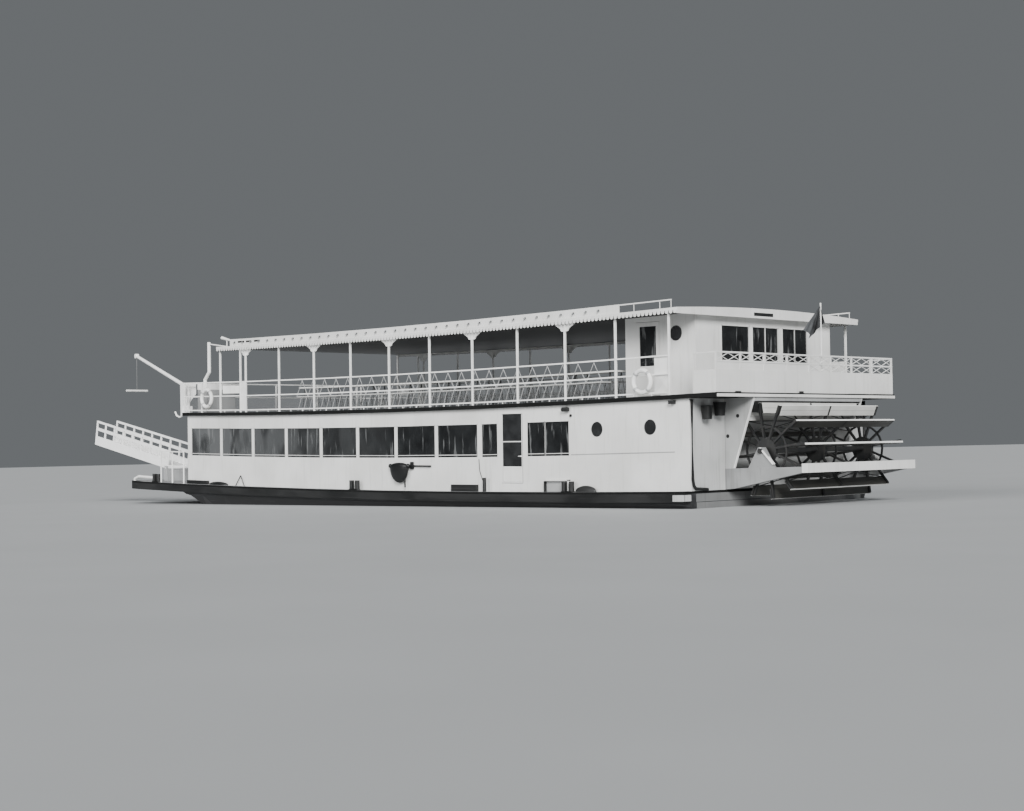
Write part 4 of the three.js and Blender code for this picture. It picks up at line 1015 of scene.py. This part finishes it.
bands, lines = meshes(2)
for x, z in BUOYS:
    for side in SIDES:
        centre = Vector((x, side * BUOY_Y, z + sheer(x)))
        for k in range(4):
            angle = math.radians(45 + 90 * k)
            middle = centre + spoke(angle) * BUOY_RADIUS
            half_band = spoke(angle + math.pi / 2) * BAND_HALF
            pipe(bands, middle - half_band, middle + half_band, 0.0625, 14)
            arc = [centre + spoke(angle + t) * (LINE_RADIUS + LINE_SLACK * math.sin(2 * t))
                   for t in (step * math.pi / 8 for step in range(5))]
            bent_pipe(lines, arc, 0.005, 6)
piece("lifebuoy_bands", bands, galvanised_wire, smooth=True, bent=False)
piece("lifebuoy_lines", lines, rope, smooth=True, bent=False)

# %% [markdown]
# ## Balustrade lattice
# The balustrade over the wheel is closed below by boards and open above, where crossed battens
# fill each panel. The starboard panels have two rows of crosses, the others one.

# %% Balustrade lattice
PANELS, DOUBLE_PANELS, LATTICE_X, LATTICE_HALF = 8, 4, -13.770, 3.990
LOWER_ROW, UPPER_ROW = (0.580, 0.765), (0.805, 0.990)
panel = 2 * LATTICE_HALF / PANELS
lattice = bmesh.new()
for k in range(PANELS):
    y0, y1 = -LATTICE_HALF + k * panel, -LATTICE_HALF + (k + 1) * panel
    middle = (y0 + y1) / 2
    for foot, head in (LOWER_ROW, UPPER_ROW) if k < DOUBLE_PANELS else (UPPER_ROW,):
        for start, end in ((y0, middle), (middle, y0), (middle, y1), (y1, middle)):
            pipe(lattice, (LATTICE_X, start, UPPER + foot), (LATTICE_X, end, UPPER + head), 0.011, 4)
    if k >= DOUBLE_PANELS:
        board(lattice, LATTICE_X - 0.005, LATTICE_X + 0.005, y0, y1, UPPER + 0.575, UPPER + 0.770)
board(lattice, UPPER_AFT - 0.015, UPPER_AFT - 0.001, -4.04, 4.04, UPPER_UNDER, UPPER - 0.035)
piece("balustrade_lattice", lattice, white_enamel)

# %% [markdown]
# ## Edges and marks at the stern
# The wing plates and wheel pedestals have pale flat bars along their edges, and the hull a plate
# round each stern corner. Small dark slots and chips mark the roof board and the balcony's edge.
# Each is a thin board, which keeps its edge crisp where a painted texture would blur.

# %% Edge bars and dark marks
# Columns: y from, y to, foot and head above the upper deck
CHIPS = (
    (3.30, 3.05, -0.005, 0.030), (2.05, 1.10, -0.030, -0.012), (0.55, 0.35, -0.012, 0.050),
    (-0.70, -1.55, -0.024, -0.008), (-1.75, -2.60, -0.016, 0.004), (-2.95, -3.95, -0.014, 0.004),
)
SLOTS = ((6.390, 6.020), (5.930, 5.640), (5.480, 5.160))
WING_BAR = ((-13.785, 2.450, UPPER_UNDER + 0.148), (-13.118, 2.450, DECK + 0.679))
PEDESTAL_BAR = ((-13.950, 2.440, 2.600), (-14.360, 2.440, DECK + 0.780))
edges, marks = meshes(2)
for side in SIDES:
    beam(edges, *flip(side, *WING_BAR), 0.062, 0.024)
    beam(edges, *flip(side, *PEDESTAL_BAR), 0.100, 0.030)
    for x0, x1 in SLOTS:
        side_board(marks, side, x0, x1, 4.034, 4.037, ROOF_EDGE + 0.100, ROOF_EDGE + 0.160)
board(marks, ROOF_AFT - 0.006, ROOF_AFT + 0.002, 0.010, 0.860, ROOF_UNDER - 0.030, ROOF_UNDER + 0.060)
for y0, y1, foot, head in CHIPS:
    board(marks, UPPER_AFT - 0.004, UPPER_AFT, y0, y1, UPPER + foot, UPPER + head)
piece("stern_edge_strips", edges, rail_enamel, bent=False)
piece("dark_edge_marks", marks, steel_paint)

# %% Corner plates and transom
PLATE_Z, PLATE_OUT, SKIN = (DECK - 0.250, DECK - 0.090), DECK_HALF + 0.004, (STERN - 0.006, STERN)
plates, transom = meshes(2)
for side in SIDES:
    side_board(plates, side, -12.480, STERN - 0.008, DECK_HALF, PLATE_OUT, *PLATE_Z)
    side_board(plates, side, STERN - 0.008, STERN, 3.930, PLATE_OUT, *PLATE_Z)
board(transom, *SKIN, -3.700, 3.700, 0.910, DECK - 0.290)
board(transom, *SKIN, -3.720, 3.720, DECK - 0.275, DECK - 0.070)
# The corner plates share the white enamel greyed as painted shade.
piece("stern_corner_plates", plates, shaded_quarter_enamel)
piece("transom_paint", transom, transom_enamel)

# %% [markdown]
# ## Landing stage deck
# Cross treads give grip on the slope. They are laid level, then turned to it at the hinge.

# %% Stage treads
TREADS, TREAD_PITCH, TREAD_WIDTH, TREAD_HALF = 22, 0.22, 0.040, 0.40
STAGE_HINGE, STAGE_RISE = (11.9, 2.79, 2.02), math.radians(10.5)
treads = bmesh.new()
stage_place = Matrix.Translation(STAGE_HINGE) @ Matrix.Rotation(-STAGE_RISE, 4, "Y")
for k in range(TREADS):
    x = 0.15 + k * TREAD_PITCH
    board(treads, x, x + TREAD_WIDTH, -TREAD_HALF, TREAD_HALF, 0.060, 0.078)
bmesh.ops.transform(treads, matrix=stage_place, verts=treads.verts)
piece("stage_treads", treads, grey_enamel, body="stage")

# %% [markdown]
# ## Ensign
# A flag hangs from the staff over the wheel in soft folds, because there is little wind. Cloth
# bends but doesn't stretch, so every line that starts at the held corner stays straight, and the
# corner's right angle is folded like a fan: the step from line to line keeps its size, and only
# its heading swings to and fro.

# %% Flag
FLAG_HOIST, FLAG_FLY, FLAG_STEPS = 0.500, 0.800, 40
FOLDS, SWING, FIRST_LEAN, FIRST_OUT = 10.0, 1.45, math.radians(-14), 0.115
FAN_STEPS, CORNER_ANGLE = 180, math.pi / 2
HELD_CORNER = Vector((-13.700, -0.650, UPPER + 2.38 + sheer(-13.7)))
ACROSS, OUTWARD, DOWN = Vector((0.60, 0.80, 0)), Vector((-0.80, 0.60, 0)), Vector((0, 0, -1))
fan, lean, out = [], FIRST_LEAN, FIRST_OUT
for k in range(FAN_STEPS + 1):
    fan.append((lean, out))
    heading = SWING * math.sin(FOLDS * k / FAN_STEPS * CORNER_ANGLE)
    lean += math.cos(heading) * CORNER_ANGLE / FAN_STEPS
    out -= math.sin(heading) * CORNER_ANGLE / FAN_STEPS
flag_mesh = bmesh.new()
bmesh.ops.create_grid(flag_mesh, x_segments=FLAG_STEPS, y_segments=FLAG_STEPS, size=0.5)
for vert in flag_mesh.verts:
    fly, hoist = (vert.co.x + 0.5) * FLAG_FLY, (0.5 - vert.co.y) * FLAG_HOIST
    lean, out = fan[round(math.atan2(fly, hoist) / CORNER_ANGLE * FAN_STEPS)]
    reach = math.hypot(fly, hoist)
    hanging = ACROSS * math.sin(lean) + DOWN * math.cos(lean)
    vert.co = HELD_CORNER + (hanging * math.cos(out) + OUTWARD * math.sin(out)) * reach
flag = piece("ensign", flag_mesh, flag_cloth, smooth=True, bent=False)
